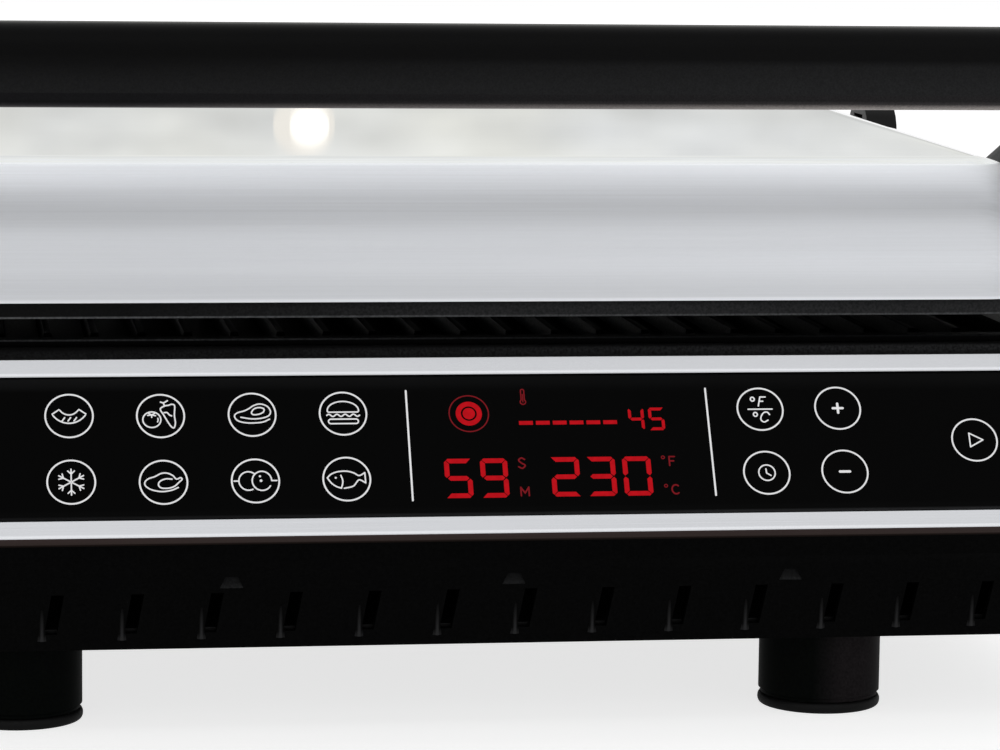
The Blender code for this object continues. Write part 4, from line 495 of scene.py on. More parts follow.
@dataclass
class Shell:
    """Meshes being gathered into one piece: places, and faces of three or four corners."""

    places: list[np.ndarray] = field(default_factory=list)
    faces: list[list[int]] = field(default_factory=list)
    count: int = 0

    @classmethod
    def of(cls, rings: np.ndarray, loop: bool = False) -> Shell:
        """Return a shell that holds one stack of rings."""
        made = cls()
        made.add_rings(rings, loop)
        return made

    def add(self, places: np.ndarray, faces: list[np.ndarray]) -> None:
        """Add a closed surface."""
        self.places.append(places)
        for group in faces:
            self.faces.extend((group + self.count).tolist())
        self.count += len(places)

    def add_rings(self, rings: np.ndarray, loop: bool = False) -> None:
        """Skin a stack of closed rings.

        Args:
            rings: Places as (ring, corner, xyz).
            loop: Whether the last ring joins the first; otherwise both ends close on their middles.
        """
        count, corners, _ = rings.shape
        index = np.arange(count * corners).reshape(count, corners)
        low = index if loop else index[:-1]
        high = np.roll(index, -1, 0) if loop else index[1:]
        low_next, high_next = np.roll(low, -1, 1), np.roll(high, -1, 1)
        quads = np.stack([low, low_next, high_next, high], -1).reshape(-1, 4)
        places = rings.reshape(-1, 3)
        faces = [quads]
        if not loop:
            middles = rings[[0, -1]].mean(1)
            places = np.vstack([places, middles])
            for end, row in enumerate((index[0], index[-1][::-1])):
                pole = np.full(corners, count * corners + end)
                faces.append(np.stack([np.roll(row, -1), row, pole], -1))
        self.add(places, faces)

    def piece(self, name: str, body: Body, finish: Finish, slot: str, sharp: float = 30.0) -> bpy.types.Object:
        """Turn the gathered surfaces into one smooth-shaded piece that rides a body.

        Args:
            name: The piece's name.
            body: The body that carries it.
            finish: Its finish.
            slot: The record's material slot that it belongs to; not used.
            sharp: Edges that turn by more than this many degrees stay crisp.
        """
        mesh = bpy.data.meshes.new(name)
        mesh.from_pydata(np.vstack(self.places).tolist(), [], self.faces)
        bm = bmesh.new()
        bm.from_mesh(mesh)
        bmesh.ops.recalc_face_normals(bm, faces=bm.faces)
        bm.to_mesh(mesh)
        bm.free()
        mesh.materials.append(finish.build())
        mesh.shade_smooth()
        mesh.set_sharp_from_angle(angle=radians(sharp))
        made = put(name, mesh)
        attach(made, body.value)
        LOG.info("%s: %d faces", name, len(mesh.polygons))
        return made


def rounded_rectangle(half_width: float, half_depth: float, radius: float, steps: int = 8) -> np.ndarray:
    """Return a rectangle with round corners about the origin as (corner, 2), counter-clockwise."""
    quarter = np.repeat(np.arange(4), steps + 1)
    turn = (quarter + np.tile(np.linspace(0, 1, steps + 1), 4)) * pi / 2
    side_x = np.array([1, -1, -1, 1])[quarter]
    side_y = np.array([1, 1, -1, -1])[quarter]
    across = side_x * (half_width - radius) + radius * np.cos(turn)
    along = side_y * (half_depth - radius) + radius * np.sin(turn)
    return np.stack([across, along], -1)


def turned(profile: np.ndarray, centre: Triple, axis: Axis, corners: int = 48,
           ripple: np.ndarray | None = None) -> np.ndarray:
    """Return the rings of a surface of revolution.

    The radius at each angle is the profile's radius times the ripple at that angle.

    Args:
        profile: (radius, distance) pairs along the axis.
        centre: The point on the axis that distances are measured from.
        axis: The axis it turns round.
        corners: Places in a ring.
        ripple: A factor for each ring and corner, or none.
    """
    turn = np.linspace(0, 2 * pi, corners, endpoint=False)
    radius = profile[:, :1] * (np.ones(corners) if ripple is None else ripple)
    flat = np.stack([radius * np.cos(turn), radius * np.sin(turn), np.repeat(profile[:, 1:], corners, 1)], -1)
    rings = np.empty_like(flat)
    for source, target in enumerate(axis.value):
        rings[..., target] = flat[..., source]
    return rings + np.array(centre)


def arc(centre: Pair, radii: Pair, start: float, end: float, steps: int = 24) -> np.ndarray:
    """Return places on an ellipse between two angles in degrees."""
    turn = np.radians(np.linspace(start, end, steps + 1))
    return np.array(centre) + np.stack([radii[0] * np.cos(turn), radii[1] * np.sin(turn)], -1)


def oval(centre: Pair, radii: Pair, corners: int = 24) -> np.ndarray:
    """Return the places of a whole ellipse."""
    return arc(centre, radii, 0, 360 - 360 / corners, corners - 1)


def spline(points: list[Pair], closed: bool = False, steps: int = 8) -> np.ndarray:
    """Return a smooth line through points: each span is a cubic whose end slopes follow its neighbours."""
    marks = np.array(points, float)
    if closed:
        marks = np.vstack([marks[-1:], marks, marks[:2]])
    else:
        marks = np.vstack([2 * marks[0] - marks[1], marks, 2 * marks[-1] - marks[-2]])
    before, here, after, beyond = marks[:-3], marks[1:-2], marks[2:-1], marks[3:]
    t = np.linspace(0, 1, steps, endpoint=False)[None, :, None]
    here_, after_, before_, beyond_ = (m[:, None, :] for m in (here, after, before, beyond))
    line = 0.5 * (
        2 * here_ + (after_ - before_) * t + (2 * before_ - 5 * here_ + 4 * after_ - beyond_) * t ** 2
        + (3 * here_ - before_ - 3 * after_ + beyond_) * t ** 3
    )
    line = line.reshape(-1, 2)
    return line if closed else np.vstack([line, after[-1:]])


@dataclass
class Stroke:
    """One line of the panel's print, in millimetres: places along its middle, its width, and its ends."""

    line: np.ndarray
    width: float = 0.5
    closed: bool = False

    def sides(self) -> tuple[np.ndarray, np.ndarray]:
        """Return both edges of the line; an open line ends in half circles."""
        line, width = self.line, np.full(len(self.line), self.width / 2)
        if self.closed:
            ahead = np.roll(line, -1, 0) - np.roll(line, 1, 0)
        else:
            turn = np.linspace(0, pi / 2, 4)[1:]
            reach = self.width / 2 * np.sin(turn)[:, None]
            first = (line[0] - line[1]) / np.linalg.norm(line[0] - line[1])
            last = (line[-1] - line[-2]) / np.linalg.norm(line[-1] - line[-2])
            line = np.vstack([(line[0] + first * reach)[::-1], line, line[-1] + last * reach])
            taper = self.width / 2 * np.cos(turn) + 1e-3
            width = np.concatenate([taper[::-1], width, taper])
            ahead = np.gradient(line, axis=0)
        ahead /= np.linalg.norm(ahead, axis=1, keepdims=True)
        square = np.stack([-ahead[:, 1], ahead[:, 0]], -1) * width[:, None]
        return line + square, line - square


@dataclass(frozen=True)
class PanelPlane:
    """The sloping control panel: across is x, up runs up the slope from the bezel's low edge."""

    low_y: float = -154.3 * MM
    low_z: float = 54.8 * MM
    tilt: float = radians(33.7)

    def place(self, across: np.ndarray, up: np.ndarray, height: np.ndarray) -> np.ndarray:
        """Return places from across, up and height over the bezel's face, all in metres."""
        y = self.low_y + up * sin(self.tilt) - height * cos(self.tilt)
        z = self.low_z + up * cos(self.tilt) + height * sin(self.tilt)
        return np.stack(np.broadcast_arrays(across, y, z), -1)


PANEL = PanelPlane()


@dataclass
class PrintLayer:
    """Print or lit marks on the glass, as closed solids a few hundredths of a millimetre thick."""

    low: float = -0.18 * MM
    high: float = -0.12 * MM

    def add_band(self, shell: Shell, left: np.ndarray, right: np.ndarray, loop: bool) -> None:
        """Add a flat band between two edges in millimetres."""
        across = np.stack([left[:, 0], right[:, 0], right[:, 0], left[:, 0]], -1) * MM
        up = np.stack([left[:, 1], right[:, 1], right[:, 1], left[:, 1]], -1) * MM
        height = np.array([self.low, self.low, self.high, self.high])
        shell.add_rings(PANEL.place(across, up, np.broadcast_to(height, across.shape)), loop)

    def add_stroke(self, shell: Shell, stroke: Stroke, centre: Pair) -> None:
        """Add a stroke about a centre."""
        left, right = stroke.sides()
        self.add_band(shell, left + centre, right + centre, stroke.closed)

    def add_shape(self, shell: Shell, outline: np.ndarray) -> None:
        """Add a filled convex shape from its outline in millimetres."""
        across, up = outline[:, 0] * MM, outline[:, 1] * MM
        rings = np.stack([PANEL.place(across, up, np.array(h)) for h in (self.low, self.high)])
        shell.add_rings(rings)


class Icon(Enum):
    """The marks inside the touch rings."""

    STEAK = "steak"
    KEBAB = "kebab"
    BURGER = "burger"
    FISH = "fish"
    VEGETABLES = "vegetables"
    POULTRY = "poultry"
    SAUSAGE = "sausage"
    FROZEN = "frozen"
    UNITS = "units"
    CLOCK = "clock"
    PLUS = "plus"
    MINUS = "minus"
    POWER = "power"
    START = "start"


@dataclass(frozen=True)
class IconSet:
    """Draws each mark as strokes in millimetres about the middle of its ring."""

    width: float = 0.385
    pinhole: float = 0.04

    def strokes(self, icon: Icon) -> list[Stroke]:
        """Return the strokes of a mark."""
        return getattr(self, icon.value)()

    def open(self, line: np.ndarray, width: float = 0.0) -> Stroke:
        """Return an open stroke of the usual width."""
        return Stroke(line, width or self.width)

    def loop(self, line: np.ndarray) -> Stroke:
        """Return a closed stroke of the usual width."""
        return Stroke(line, self.width, True)

    def straight(self, start: Pair, end: Pair, width: float = 0.0) -> Stroke:
        """Return a straight stroke."""
        return self.open(np.linspace(start, end, 5), width)

    def dot(self, centre: Pair, radius: float = 0.18) -> Stroke:
        """Return a small round mark."""
        return Stroke(oval(centre, (radius, radius)), 2 * radius - self.pinhole, True)

    def steak(self) -> list[Stroke]:
        """Draw a cutlet whose edge winds in under itself, with a bone eye."""
        edge = spline([(-3.1, -0.75), (-0.2, -1.25), (2.4, -1.1), (4.4, -0.4), (5.05, 0.8), (4.5, 2.2),
                       (3.3, 3.0), (1.9, 3.2), (0.4, 2.7), (-0.9, 1.8), (-2.2, 1.15), (-3.9, 0.65),
                       (-4.75, -0.1), (-4.65, -1.0), (-3.75, -1.9), (-1.9, -2.4), (0.2, -2.5), (2.8, -2.25),
                       (4.7, -1.4)])
        eye = spline([(-0.15, 0.6), (0.6, 1.75), (2.0, 2.15), (3.25, 1.75), (3.1, 0.8), (1.9, 0.15),
                     (0.4, 0.0)], True)
        return [self.open(edge), self.loop(eye)]

    def kebab(self) -> list[Stroke]:
        """Draw two round pieces on a skewer, the right one in front."""
        back = arc((-1.9, 0.0), (2.6, 2.75), 48, 295)
        front = arc((1.75, 0.0), (2.65, 2.85), 4, 328)
        return [self.open(back), self.open(front), self.straight((-5.8, 0.0), (-4.6, 0.0)),
                self.straight((4.4, 0.05), (5.8, 0.05)), self.dot((1.25, 1.35), 0.16),
                self.dot((1.5, 0.05), 0.20)]

    def burger(self) -> list[Stroke]:
        """Draw a domed bun, a wavy filling and a flat bun."""
        dome = arc((0.0, 0.95), (4.3, 2.75), 0, 180)
        hems = [arc((-3.9, 0.9), (0.4, 0.45), 180, 270, 4), arc((3.9, 0.9), (0.4, 0.45), 270, 360, 4)]
        top = np.vstack([dome, *hems])
        x = np.linspace(-4.5, 4.5, 60)
        wave = np.stack([x, -0.52 + 0.34 * np.sin((x + 4.5) * 2 * pi / 2.25)], -1)
        bottom = rounded_rectangle(4.1, 0.68, 0.66, 6) + (0.0, -2.35)
        return [self.loop(top), self.open(wave), self.loop(bottom)]

    def fish(self) -> list[Stroke]:
        """Draw a fish with a forked tail, a gill line and an eye."""
        back = spline([(-5.3, 0.4), (-4.2, 1.5), (-2.4, 2.2), (0.0, 2.35), (2.0, 1.8), (3.4, 1.0), (5.0, 1.85)])
        belly = spline([(-5.3, 0.4), (-4.2, -1.2), (-2.9, -2.2), (-1.6, -2.7)])
        rear = spline([(-0.8, -2.75), (1.7, -2.1), (3.3, -0.3), (5.1, -1.2)])
        gill = spline([(-1.55, 1.1), (-1.15, -0.3), (-1.2, -1.3), (-1.6, -2.7)])
        return [self.open(back), self.open(belly), self.open(rear), self.open(gill),
                self.straight((5.0, 1.85), (5.1, -1.2)), self.dot((-3.0, 0.4), 0.15)]

    def vegetables(self) -> list[Stroke]:
        """Draw a tomato beside a carrot."""
        tomato = oval((-2.4, -1.1), (2.45, 2.35))
        star = [self.straight((-2.4, 0.35), (-2.4 + 1.1 * sin(t), 0.35 + 0.75 * cos(t)), 0.36)
                for t in (radians(a) for a in (-100, -50, 50, 110, 180))]
        shine = self.open(arc((-2.4, -1.1), (1.7, 1.6), -25, 15, 6), 0.34)
        carrot = spline([(3.5, -3.6), (2.5, -2.8), (0.9, 0.2), (0.0, 2.1), (1.2, 3.0), (2.2, 3.2), (3.1, 3.5),
                         (3.9, 3.0), (3.75, 0.2), (3.95, -2.1)], True)
        leaves = [self.straight((1.1, 3.1), (0.9, 3.9)), self.straight((0.9, 3.9), (0.1, 4.2)),
                  self.straight((0.9, 3.9), (2.0, 4.6))]
        rings = self.open(spline([(1.0, 1.0), (1.8, 1.0), (2.4, 0.3), (3.0, 0.0)]))
        return [self.loop(tomato), *star, shine, self.loop(carrot), *leaves, rings]

    def poultry(self) -> list[Stroke]:
        """Draw a roast bird whose edge winds in to its leg."""
        edge = spline([(3.9, -1.6), (2.0, -2.4), (-0.6, -2.75), (-3.2, -2.2), (-4.8, -1.1), (-5.0, 0.1),
                       (-4.0, 1.1), (-2.3, 1.7), (-0.6, 2.6), (1.0, 2.7), (2.5, 2.0), (3.5, 0.9), (4.6, 1.3),
                       (5.0, 0.8), (4.2, 0.0), (2.8, -1.3), (1.0, -1.8), (-0.8, -1.6), (-1.4, -0.6),
                       (-0.8, 0.4), (0.7, 1.0), (2.3, 0.9)])
        return [self.open(edge)]

    def sausage(self) -> list[Stroke]:
        """Draw a curved sausage with three score marks."""
        outer = arc((0.0, 4.2), (5.6, 6.4), 215, 325)
        inner = arc((0.0, 4.2), (3.2, 3.9), 325, 215)
        marks = [self.straight((x, -1.5), (x + 0.7, -0.5)) for x in (-1.9, -0.3, 1.3)]
        return [self.loop(np.vstack([outer, inner])), *marks]

    def frozen(self) -> list[Stroke]:
        """Draw a six-armed ice star."""
        made = []
        for turn in np.radians([0, 60, 120, 180, 240, 300]):
            out = np.array([sin(turn), cos(turn)])
            square = np.array([out[1], -out[0]])
            made.append(self.straight(tuple(out * 0.3), tuple(out * 3.8)))
            made.append(self.straight(tuple(out * 2.4), tuple(out * 3.3 + square * 0.9), 0.36))
            made.append(self.straight(tuple(out * 2.4), tuple(out * 3.3 - square * 0.9), 0.36))
        return made

    def units(self) -> list[Stroke]:
        """Draw the two temperature units over and under a bar."""
        return [self.straight((-3.4, 0.0), (3.4, 0.0)),
                self.loop(oval((-1.9, 3.1), (0.55, 0.6))),
                self.straight((-0.4, 1.0), (0.3, 3.75)), self.straight((0.3, 3.75), (1.8, 3.75)),
                self.straight((0.0, 2.45), (1.0, 2.45)),
                self.loop(oval((-1.5, -1.6), (0.55, 0.6))),
                self.open(spline([(2.5, -1.7), (1.9, -0.95), (0.9, -1.1), (0.1, -2.2), (-0.05, -3.3),
                                  (0.8, -3.95), (1.9, -3.4)]))]

    def clock(self) -> list[Stroke]:
        """Draw a small clock face with two hands."""
        return [self.loop(oval((0.05, 0.0), (2.3, 2.35), 36)), self.straight((-0.15, 1.15), (-0.05, -0.1)),
                self.straight((-0.05, -0.1), (1.1, -0.85))]

    def plus(self) -> list[Stroke]:
        """Draw a plus."""
        return [self.straight((-1.4, 0.0), (1.4, 0.0), 0.68), self.straight((0.0, -1.4), (0.0, 1.4), 0.68)]

    def minus(self) -> list[Stroke]:
        """Draw a minus."""
        return [self.straight((-1.4, 0.0), (1.4, 0.0), 0.72)]

    def power(self) -> list[Stroke]:
        """Draw a broken circle with a bar."""
        return [self.open(arc((0.0, -0.2), (2.4, 2.4), 125, 415)), self.straight((0.0, 0.4), (0.0, 2.9))]

    def start(self) -> list[Stroke]:
        """Draw a triangle that points right."""
        return [self.straight((-1.4, 2.1), (2.4, 0.0)), self.straight((2.4, 0.0), (-1.4, -2.1)),
                self.straight((-1.4, -2.1), (-1.4, 2.1))]


@dataclass(frozen=True)
class Digits:
    """Seven-segment numbers: (left, foot) of the first digit, their height, width, pitch and bar, in mm."""

    number: str
    left: float
    foot: float
    height: float
    width: float
    pitch: float
    bar: float
    gap: float = 0.16
    corner: float = 0.75
    nose: float = 0.62
    point: Pair = (0.4, 0.6)

    LIT = {"0": "abcdef", "2": "abged", "3": "abgcd", "4": "fgbc", "5": "afgcd", "9": "abcdfg"}

    def flat_end(self, joined: bool) -> list[Pair]:
        """Return a flat bar's end as (inwards, down): chamfered where it meets an upright bar."""
        cut, half = self.corner * self.bar, self.gap / 3
        if joined:
            return [(cut / 2 + half, cut / 2 - half), (cut, 0.0)]
        return [(self.gap + 0.1 * self.bar, 0.0)]

    def flat_bar(self, left: float, right: float, joined: tuple[bool, bool]) -> np.ndarray:
        """Return an upper bar as (x, down from the digit's top); a lower one is its mirror image."""
        reach = self.bar + self.gap
        ends = [(left + x, y) for x, y in self.flat_end(joined[0])]
        ends += [(right - x, y) for x, y in reversed(self.flat_end(joined[1]))]
        return np.array([*ends, (right - reach, self.bar), (left + reach, self.bar)])

    def segments(self, digit: str, left: float) -> list[np.ndarray]:
        """Return the outlines of a digit's lit bars; every bar's ends are cut at a slant."""
        right, top, foot = left + self.width, self.foot + self.height, self.foot
        middle, bar, half, gap = (top + foot) / 2, self.bar, self.bar / 2, self.gap
        lit = self.LIT[digit]
        cut, nose, slit = self.corner * bar, self.nose * bar, gap / 3
        in_, down = self.point[0] * bar, self.point[1] * bar
        upper = self.flat_bar(left, right, ("f" in lit, "b" in lit))
        lower = self.flat_bar(left, right, ("e" in lit, "c" in lit))
        outlines = {
            "a": upper * (1, -1) + (0, top),
            "d": lower + (0, foot),
            "g": [(left + gap + half, middle), (left + gap + bar, middle + half),
                  (right - gap - bar, middle + half), (right - gap - half, middle),
                  (right - gap - bar, middle - half), (left + gap + bar, middle - half)],
            "f": [(left, top - cut), (left + cut / 2 - slit, top - cut / 2 - slit),
                  (left + bar, top - gap - bar), (left + bar, middle + nose), (left + in_, middle + gap),
                  (left, middle + down)],
            "e": [(left, middle - down), (left + in_, middle - gap), (left + bar, middle - nose),
                  (left + bar, foot + gap + bar), (left + cut / 2 - slit, foot + cut / 2 + slit),
                  (left, foot + cut)],
        }
        outlines["b"] = [(left + right - x, y) for x, y in outlines["f"]]
        outlines["c"] = [(left + right - x, y) for x, y in outlines["e"]]
        return [np.array(outlines[name]) for name in lit]

    def outlines(self) -> list[np.ndarray]:
        """Return the outlines of every lit bar."""
        starts = [(digit, self.left + i * self.pitch) for i, digit in enumerate(self.number)]
        return [outline for digit, left in starts for outline in self.segments(digit, left)]


@dataclass
class Display:
    """The lit marks behind the glass, in millimetres across and up the slope."""

    numbers: tuple[Digits, ...] = (
        Digits("59", left=2.25, foot=10.75, height=11.75, width=7.55, pitch=9.90, bar=1.36),
        Digits("230", left=31.6, foot=10.85, height=11.8, width=7.95, pitch=10.0, bar=1.36),
        Digits("45", left=54.5, foot=30.6, height=6.9, width=4.4, pitch=5.68, bar=0.86, gap=0.1),
    )
    dashes: int = 6
    dash_left: float = 23.85
    dash_pitch: float = 4.7
    dash_length: float = 3.85
    dash_sides: Pair = (32.6, 33.75)
    probe: Pair = (10.1, 36.15)
    probe_dot: float = 1.72
    probe_ring: Pair = (2.92, 1.42)
    probe_rim: Pair = (5.45, 0.34)
    letter_width: float = 0.42
    tube_width: float = 0.34
    column_width: float = 0.3
    degree: Pair = (0.42, 0.28)
    layer: PrintLayer = field(default_factory=PrintLayer)

    def bar(self, start: Pair, end: Pair, width: float = 0.0) -> Stroke:
        """Return a straight stroke, as wide as the letters' unless a width is given."""
        return Stroke(np.linspace(start, end, 4), width or self.letter_width)

    def circle(self, radius: float, width: float, corners: int = 72) -> Stroke:
        """Return a round stroke about the origin."""
        return Stroke(oval((0, 0), (radius, radius), corners), width, True)

    def build(self) -> None:
        """Light three numbers and six dashes, then the probe mark and the small marks."""
        shell = Shell()
        for number in self.numbers:
            for outline in number.outlines():
                self.layer.add_shape(shell, outline)
        low, high = self.dash_sides
        for i in range(self.dashes):
            left = self.dash_left + i * self.dash_pitch
            right = left + self.dash_length
            self.layer.add_shape(shell, np.array([(left, low), (right, low), (right, high), (left, high)]))
        shell.piece("display_numbers", Body.ROOT, Finishes.LED, "display")
        self.build_probe_mark()
        self.build_small_marks()

    def build_probe_mark(self) -> None:
        """Light the round probe mark: a dot in a ring, inside a thin circle."""
        shell = Shell()
        self.layer.add_shape(shell, oval(self.probe, (self.probe_dot, self.probe_dot), 36))
        self.layer.add_stroke(shell, self.circle(*self.probe_ring), self.probe)
        shell.piece("display_probe_mark", Body.ROOT, Finishes.LED, "display")
        rim = Shell()
        self.layer.add_stroke(rim, self.circle(*self.probe_rim), self.probe)
        rim.piece("display_probe_rim", Body.ROOT, Finishes.LED_DIM, "display")

    def letters(self) -> list[Stroke]:
        """Return the unit letters: seconds, minutes and the two temperature units."""
        radius, width = self.degree
        centres = ((63.1, 22.3), (63.2, 13.7))
        rings = [Stroke(oval(centre, (radius, radius), 18), width, True) for centre in centres]
        return [
            Stroke(spline([(24.55, 22.1), (23.7, 22.55), (22.9, 21.9), (23.6, 21.05), (24.6, 20.3),
                           (23.8, 19.45), (22.8, 19.9)]), self.letter_width),
            self.bar((22.9, 11.2), (22.9, 13.75)), self.bar((22.9, 13.75), (24.0, 12.0)),
            self.bar((24.0, 12.0), (25.1, 13.75)), self.bar((25.1, 13.75), (25.1, 11.2)),
            rings[0], self.bar((64.8, 19.8), (64.8, 22.5)), self.bar((64.8, 22.5), (66.3, 22.5)),
            self.bar((64.8, 21.2), (66.0, 21.2)),
            rings[1], Stroke(arc((65.9, 12.6), (1.1, 1.35), 50, 310), self.letter_width),
        ]

    def thermometer(self) -> list[Stroke]:
        """Return a small thermometer: bulb, tube, round top and column."""
        tube = self.tube_width
        return [
            Stroke(arc((25.4, 39.6), (0.75, 0.75), 130, 410), tube),
            self.bar((24.95, 40.3), (24.95, 43.0), tube), self.bar((25.85, 40.3), (25.85, 43.0), tube),
            Stroke(arc((25.4, 43.0), (0.45, 0.45), 0, 180, 8), tube),
            self.bar((25.4, 39.6), (25.4, 41.9), self.column_width),
        ]

    def build_small_marks(self) -> None:
        """Light the small dim marks."""
        shell = Shell()
        for mark in [*self.letters(), *self.thermometer()]:
            self.layer.add_stroke(shell, mark, (0, 0))
        shell.piece("display_small_marks", Body.ROOT, Finishes.LED_DIM, "display")


@dataclass
class ControlPanel:
    """The steel bezel, its folded lip, the glass, the touch keys and the display behind the glass."""

    half_width: float = 191.0 * MM
    slant: float = 53.6 * MM
    strip: float = 5.35 * MM
    end: float = 5.7 * MM
    sheet: float = 0.8 * MM
    crisp: float = 0.22 * MM
    soft: float = 1.25 * MM
    fold: float = 0.4 * MM
    lip_drop: float = 2.3 * MM
    lip_lean: float = 1.3 * MM
    glass_edge: float = 0.5 * MM
    glass_depth: float = 3.4 * MM
    glass_recess: float = 0.2 * MM
    glass_play: float = 0.35 * MM
    glass_corner: float = 0.8 * MM
    glass_inset: float = 6.0 * MM
    corner: float = 1.0 * MM
    hem: float = 0.3 * MM
    ring_radius: float = 6.42
    ring_width: float = 0.46
    rows: Pair = (36.5, 16.8)
    dividers: tuple[tuple[str, float, float], ...] = (("left", -6.95, 10.2), ("right", 76.9, 10.7))
    divider_top: float = 43.25
    divider_width: float = 0.51
    layer: PrintLayer = field(default_factory=PrintLayer)
    icons: IconSet = field(default_factory=IconSet)
    display: Display = field(default_factory=Display)

    def keys(self) -> dict[Icon, Pair]:
        """Return the middle of each touch ring, in millimetres across and up the slope."""
        upper, lower = self.rows
        return {
            Icon.SAUSAGE: (-99.1, upper), Icon.FROZEN: (-98.9, lower),
            Icon.VEGETABLES: (-74.4, upper - 0.25), Icon.POULTRY: (-74.2, lower - 0.35),
            Icon.STEAK: (-49.5, upper - 0.1), Icon.KEBAB: (-49.4, lower - 0.25),
            Icon.BURGER: (-24.6, upper), Icon.FISH: (-24.6, lower),
            Icon.UNITS: (91.9, upper + 0.25), Icon.CLOCK: (91.8, lower + 0.5),
            Icon.PLUS: (114.0, upper + 0.35), Icon.MINUS: (113.9, lower + 0.6),
            Icon.POWER: (-150.0, sum(self.rows) / 2), Icon.START: (152.0, sum(self.rows) / 2),
        }

    def frame_rings(self) -> np.ndarray:
        """Return the bezel frame: its section runs round the outer edge, over the face and into the window.

        Each edge turns over as a quarter of an ellipse: wide where it faces down, narrow elsewhere.
        """
        turn = np.linspace(0, pi / 2, 10)
        share = np.concatenate([[0.0], 1 - np.cos(turn)])
        drop = np.concatenate([[-self.sheet], -self.fold * (1 - np.sin(turn))])
        rings = [self.edge_loop(0.0, self.soft * s, self.crisp * s, h) for s, h in zip(share, drop)]
        inner = [self.edge_loop(self.strip, -self.crisp * s, -self.soft * s, h) for s, h in zip(share, drop)]
        flat = self.crisp / 2
        rings.append(self.edge_loop(0.0, self.soft + flat, self.crisp + flat, 0.0))
        inner.append(self.edge_loop(self.strip, -self.crisp - flat, -self.soft - flat, 0.0))
        return np.stack(rings + inner[::-1])

    def edge_loop(self, inset: float, low: float, high: float, height: float) -> np.ndarray:
        """Return one loop of the bezel.

        Args:
            inset: How far in from the bezel's outer edge it runs, above and below.
            low: How much further in its low side lies.
            high: How much further in its high side and its ends lie.
            height: Its height over the bezel's face.
        """
        side = self.end if inset else 0.0
        half = self.slant / 2 - inset - (low + high) / 2
        loop = rounded_rectangle(self.half_width - side - high * 0.5, half, self.corner)
        return PANEL.place(loop[:, 0], loop[:, 1] + self.slant / 2 + (low - high) / 2, np.array(height))

    def lip_rings(self) -> np.ndarray:
        """Return the folded lip under the low edge: a thin sheet that hangs down and leans back."""
        foot_y, foot_z = PANEL.low_y + self.lip_lean, PANEL.low_z - self.lip_drop
        start = PANEL.place(np.array(0.0), np.array(self.fold), np.array(-self.sheet * 0.9))
        section = np.array([
            (PANEL.low_y + 0.10 * MM, PANEL.low_z + 0.05 * MM), (foot_y - 0.15 * MM, foot_z + self.hem),
            (foot_y, foot_z), (foot_y + self.sheet * 0.8, foot_z), (foot_y + self.sheet, foot_z + self.hem),
            (start[1], start[2]),
        ])
        x = np.array([-1, 1]) * (self.half_width - 0.4 * MM)
        rings = np.empty((2, len(section), 3))
        rings[..., 0] = x[:, None]
        rings[..., 1:] = section
        return rings

    def glass_rings(self) -> np.ndarray:
        """Return the glass: a slab whose front edge is ground round, filled in by shrinking loops."""
        half_width = self.half_width - self.end - self.glass_play
        half_slant = self.slant / 2 - self.strip - self.glass_play
        turn = np.linspace(0, pi / 2, 6)
        ground = zip(self.glass_edge * (1 - np.cos(turn)), -self.glass_edge * (1 - np.sin(turn)))
        rings = []
        for inset, height in [(0.0, -self.glass_depth), *ground, (self.glass_inset, 0.0)]:
            radius = max(self.glass_corner - inset, 0.05 * MM)
            loop = rounded_rectangle(half_width - inset, half_slant - inset, radius)
            depth = np.array(height - self.glass_recess)
            rings.append(PANEL.place(loop[:, 0], loop[:, 1] + self.slant / 2, depth))
        return np.stack(rings)

    def build(self) -> None:
        """Build the panel's pieces."""
        bezel = Shell.of(self.frame_rings(), loop=True)
        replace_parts(bezel.piece("bezel_frame", Body.ROOT, Finishes.BEZEL, "bezel_steel"), "control_bezel")
        Shell.of(self.lip_rings()).piece("bezel_lip", Body.ROOT, Finishes.LIP, "bezel_steel")
        glass = Shell.of(self.glass_rings())
        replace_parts(glass.piece("touch_glass", Body.ROOT, Finishes.GLASS, "panel_glass"), "control_glass")
        self.build_keys()
        self.display.build()

    def build_keys(self) -> None:
        """Print the touch rings with their marks, and the two dividing lines."""
        radius = self.ring_radius
        ring = Stroke(oval((0, 0), (radius, radius), 72), self.ring_width, True)
        for icon, centre in self.keys().items():
            shell = Shell()
            for stroke in [ring, *self.icons.strokes(icon)]:
                self.layer.add_stroke(shell, stroke, centre)
            shell.piece(f"print_{icon.value}", Body.ROOT, Finishes.PRINT, "panel_glass")
        for name, x, low in self.dividers:
            shell = Shell()
            line = np.linspace((x, low), (x, self.divider_top), 5)
            self.layer.add_stroke(shell, Stroke(line, self.divider_width), (0, 0))
            shell.piece(f"print_divider_{name}", Body.ROOT, Finishes.PRINT, "panel_glass")


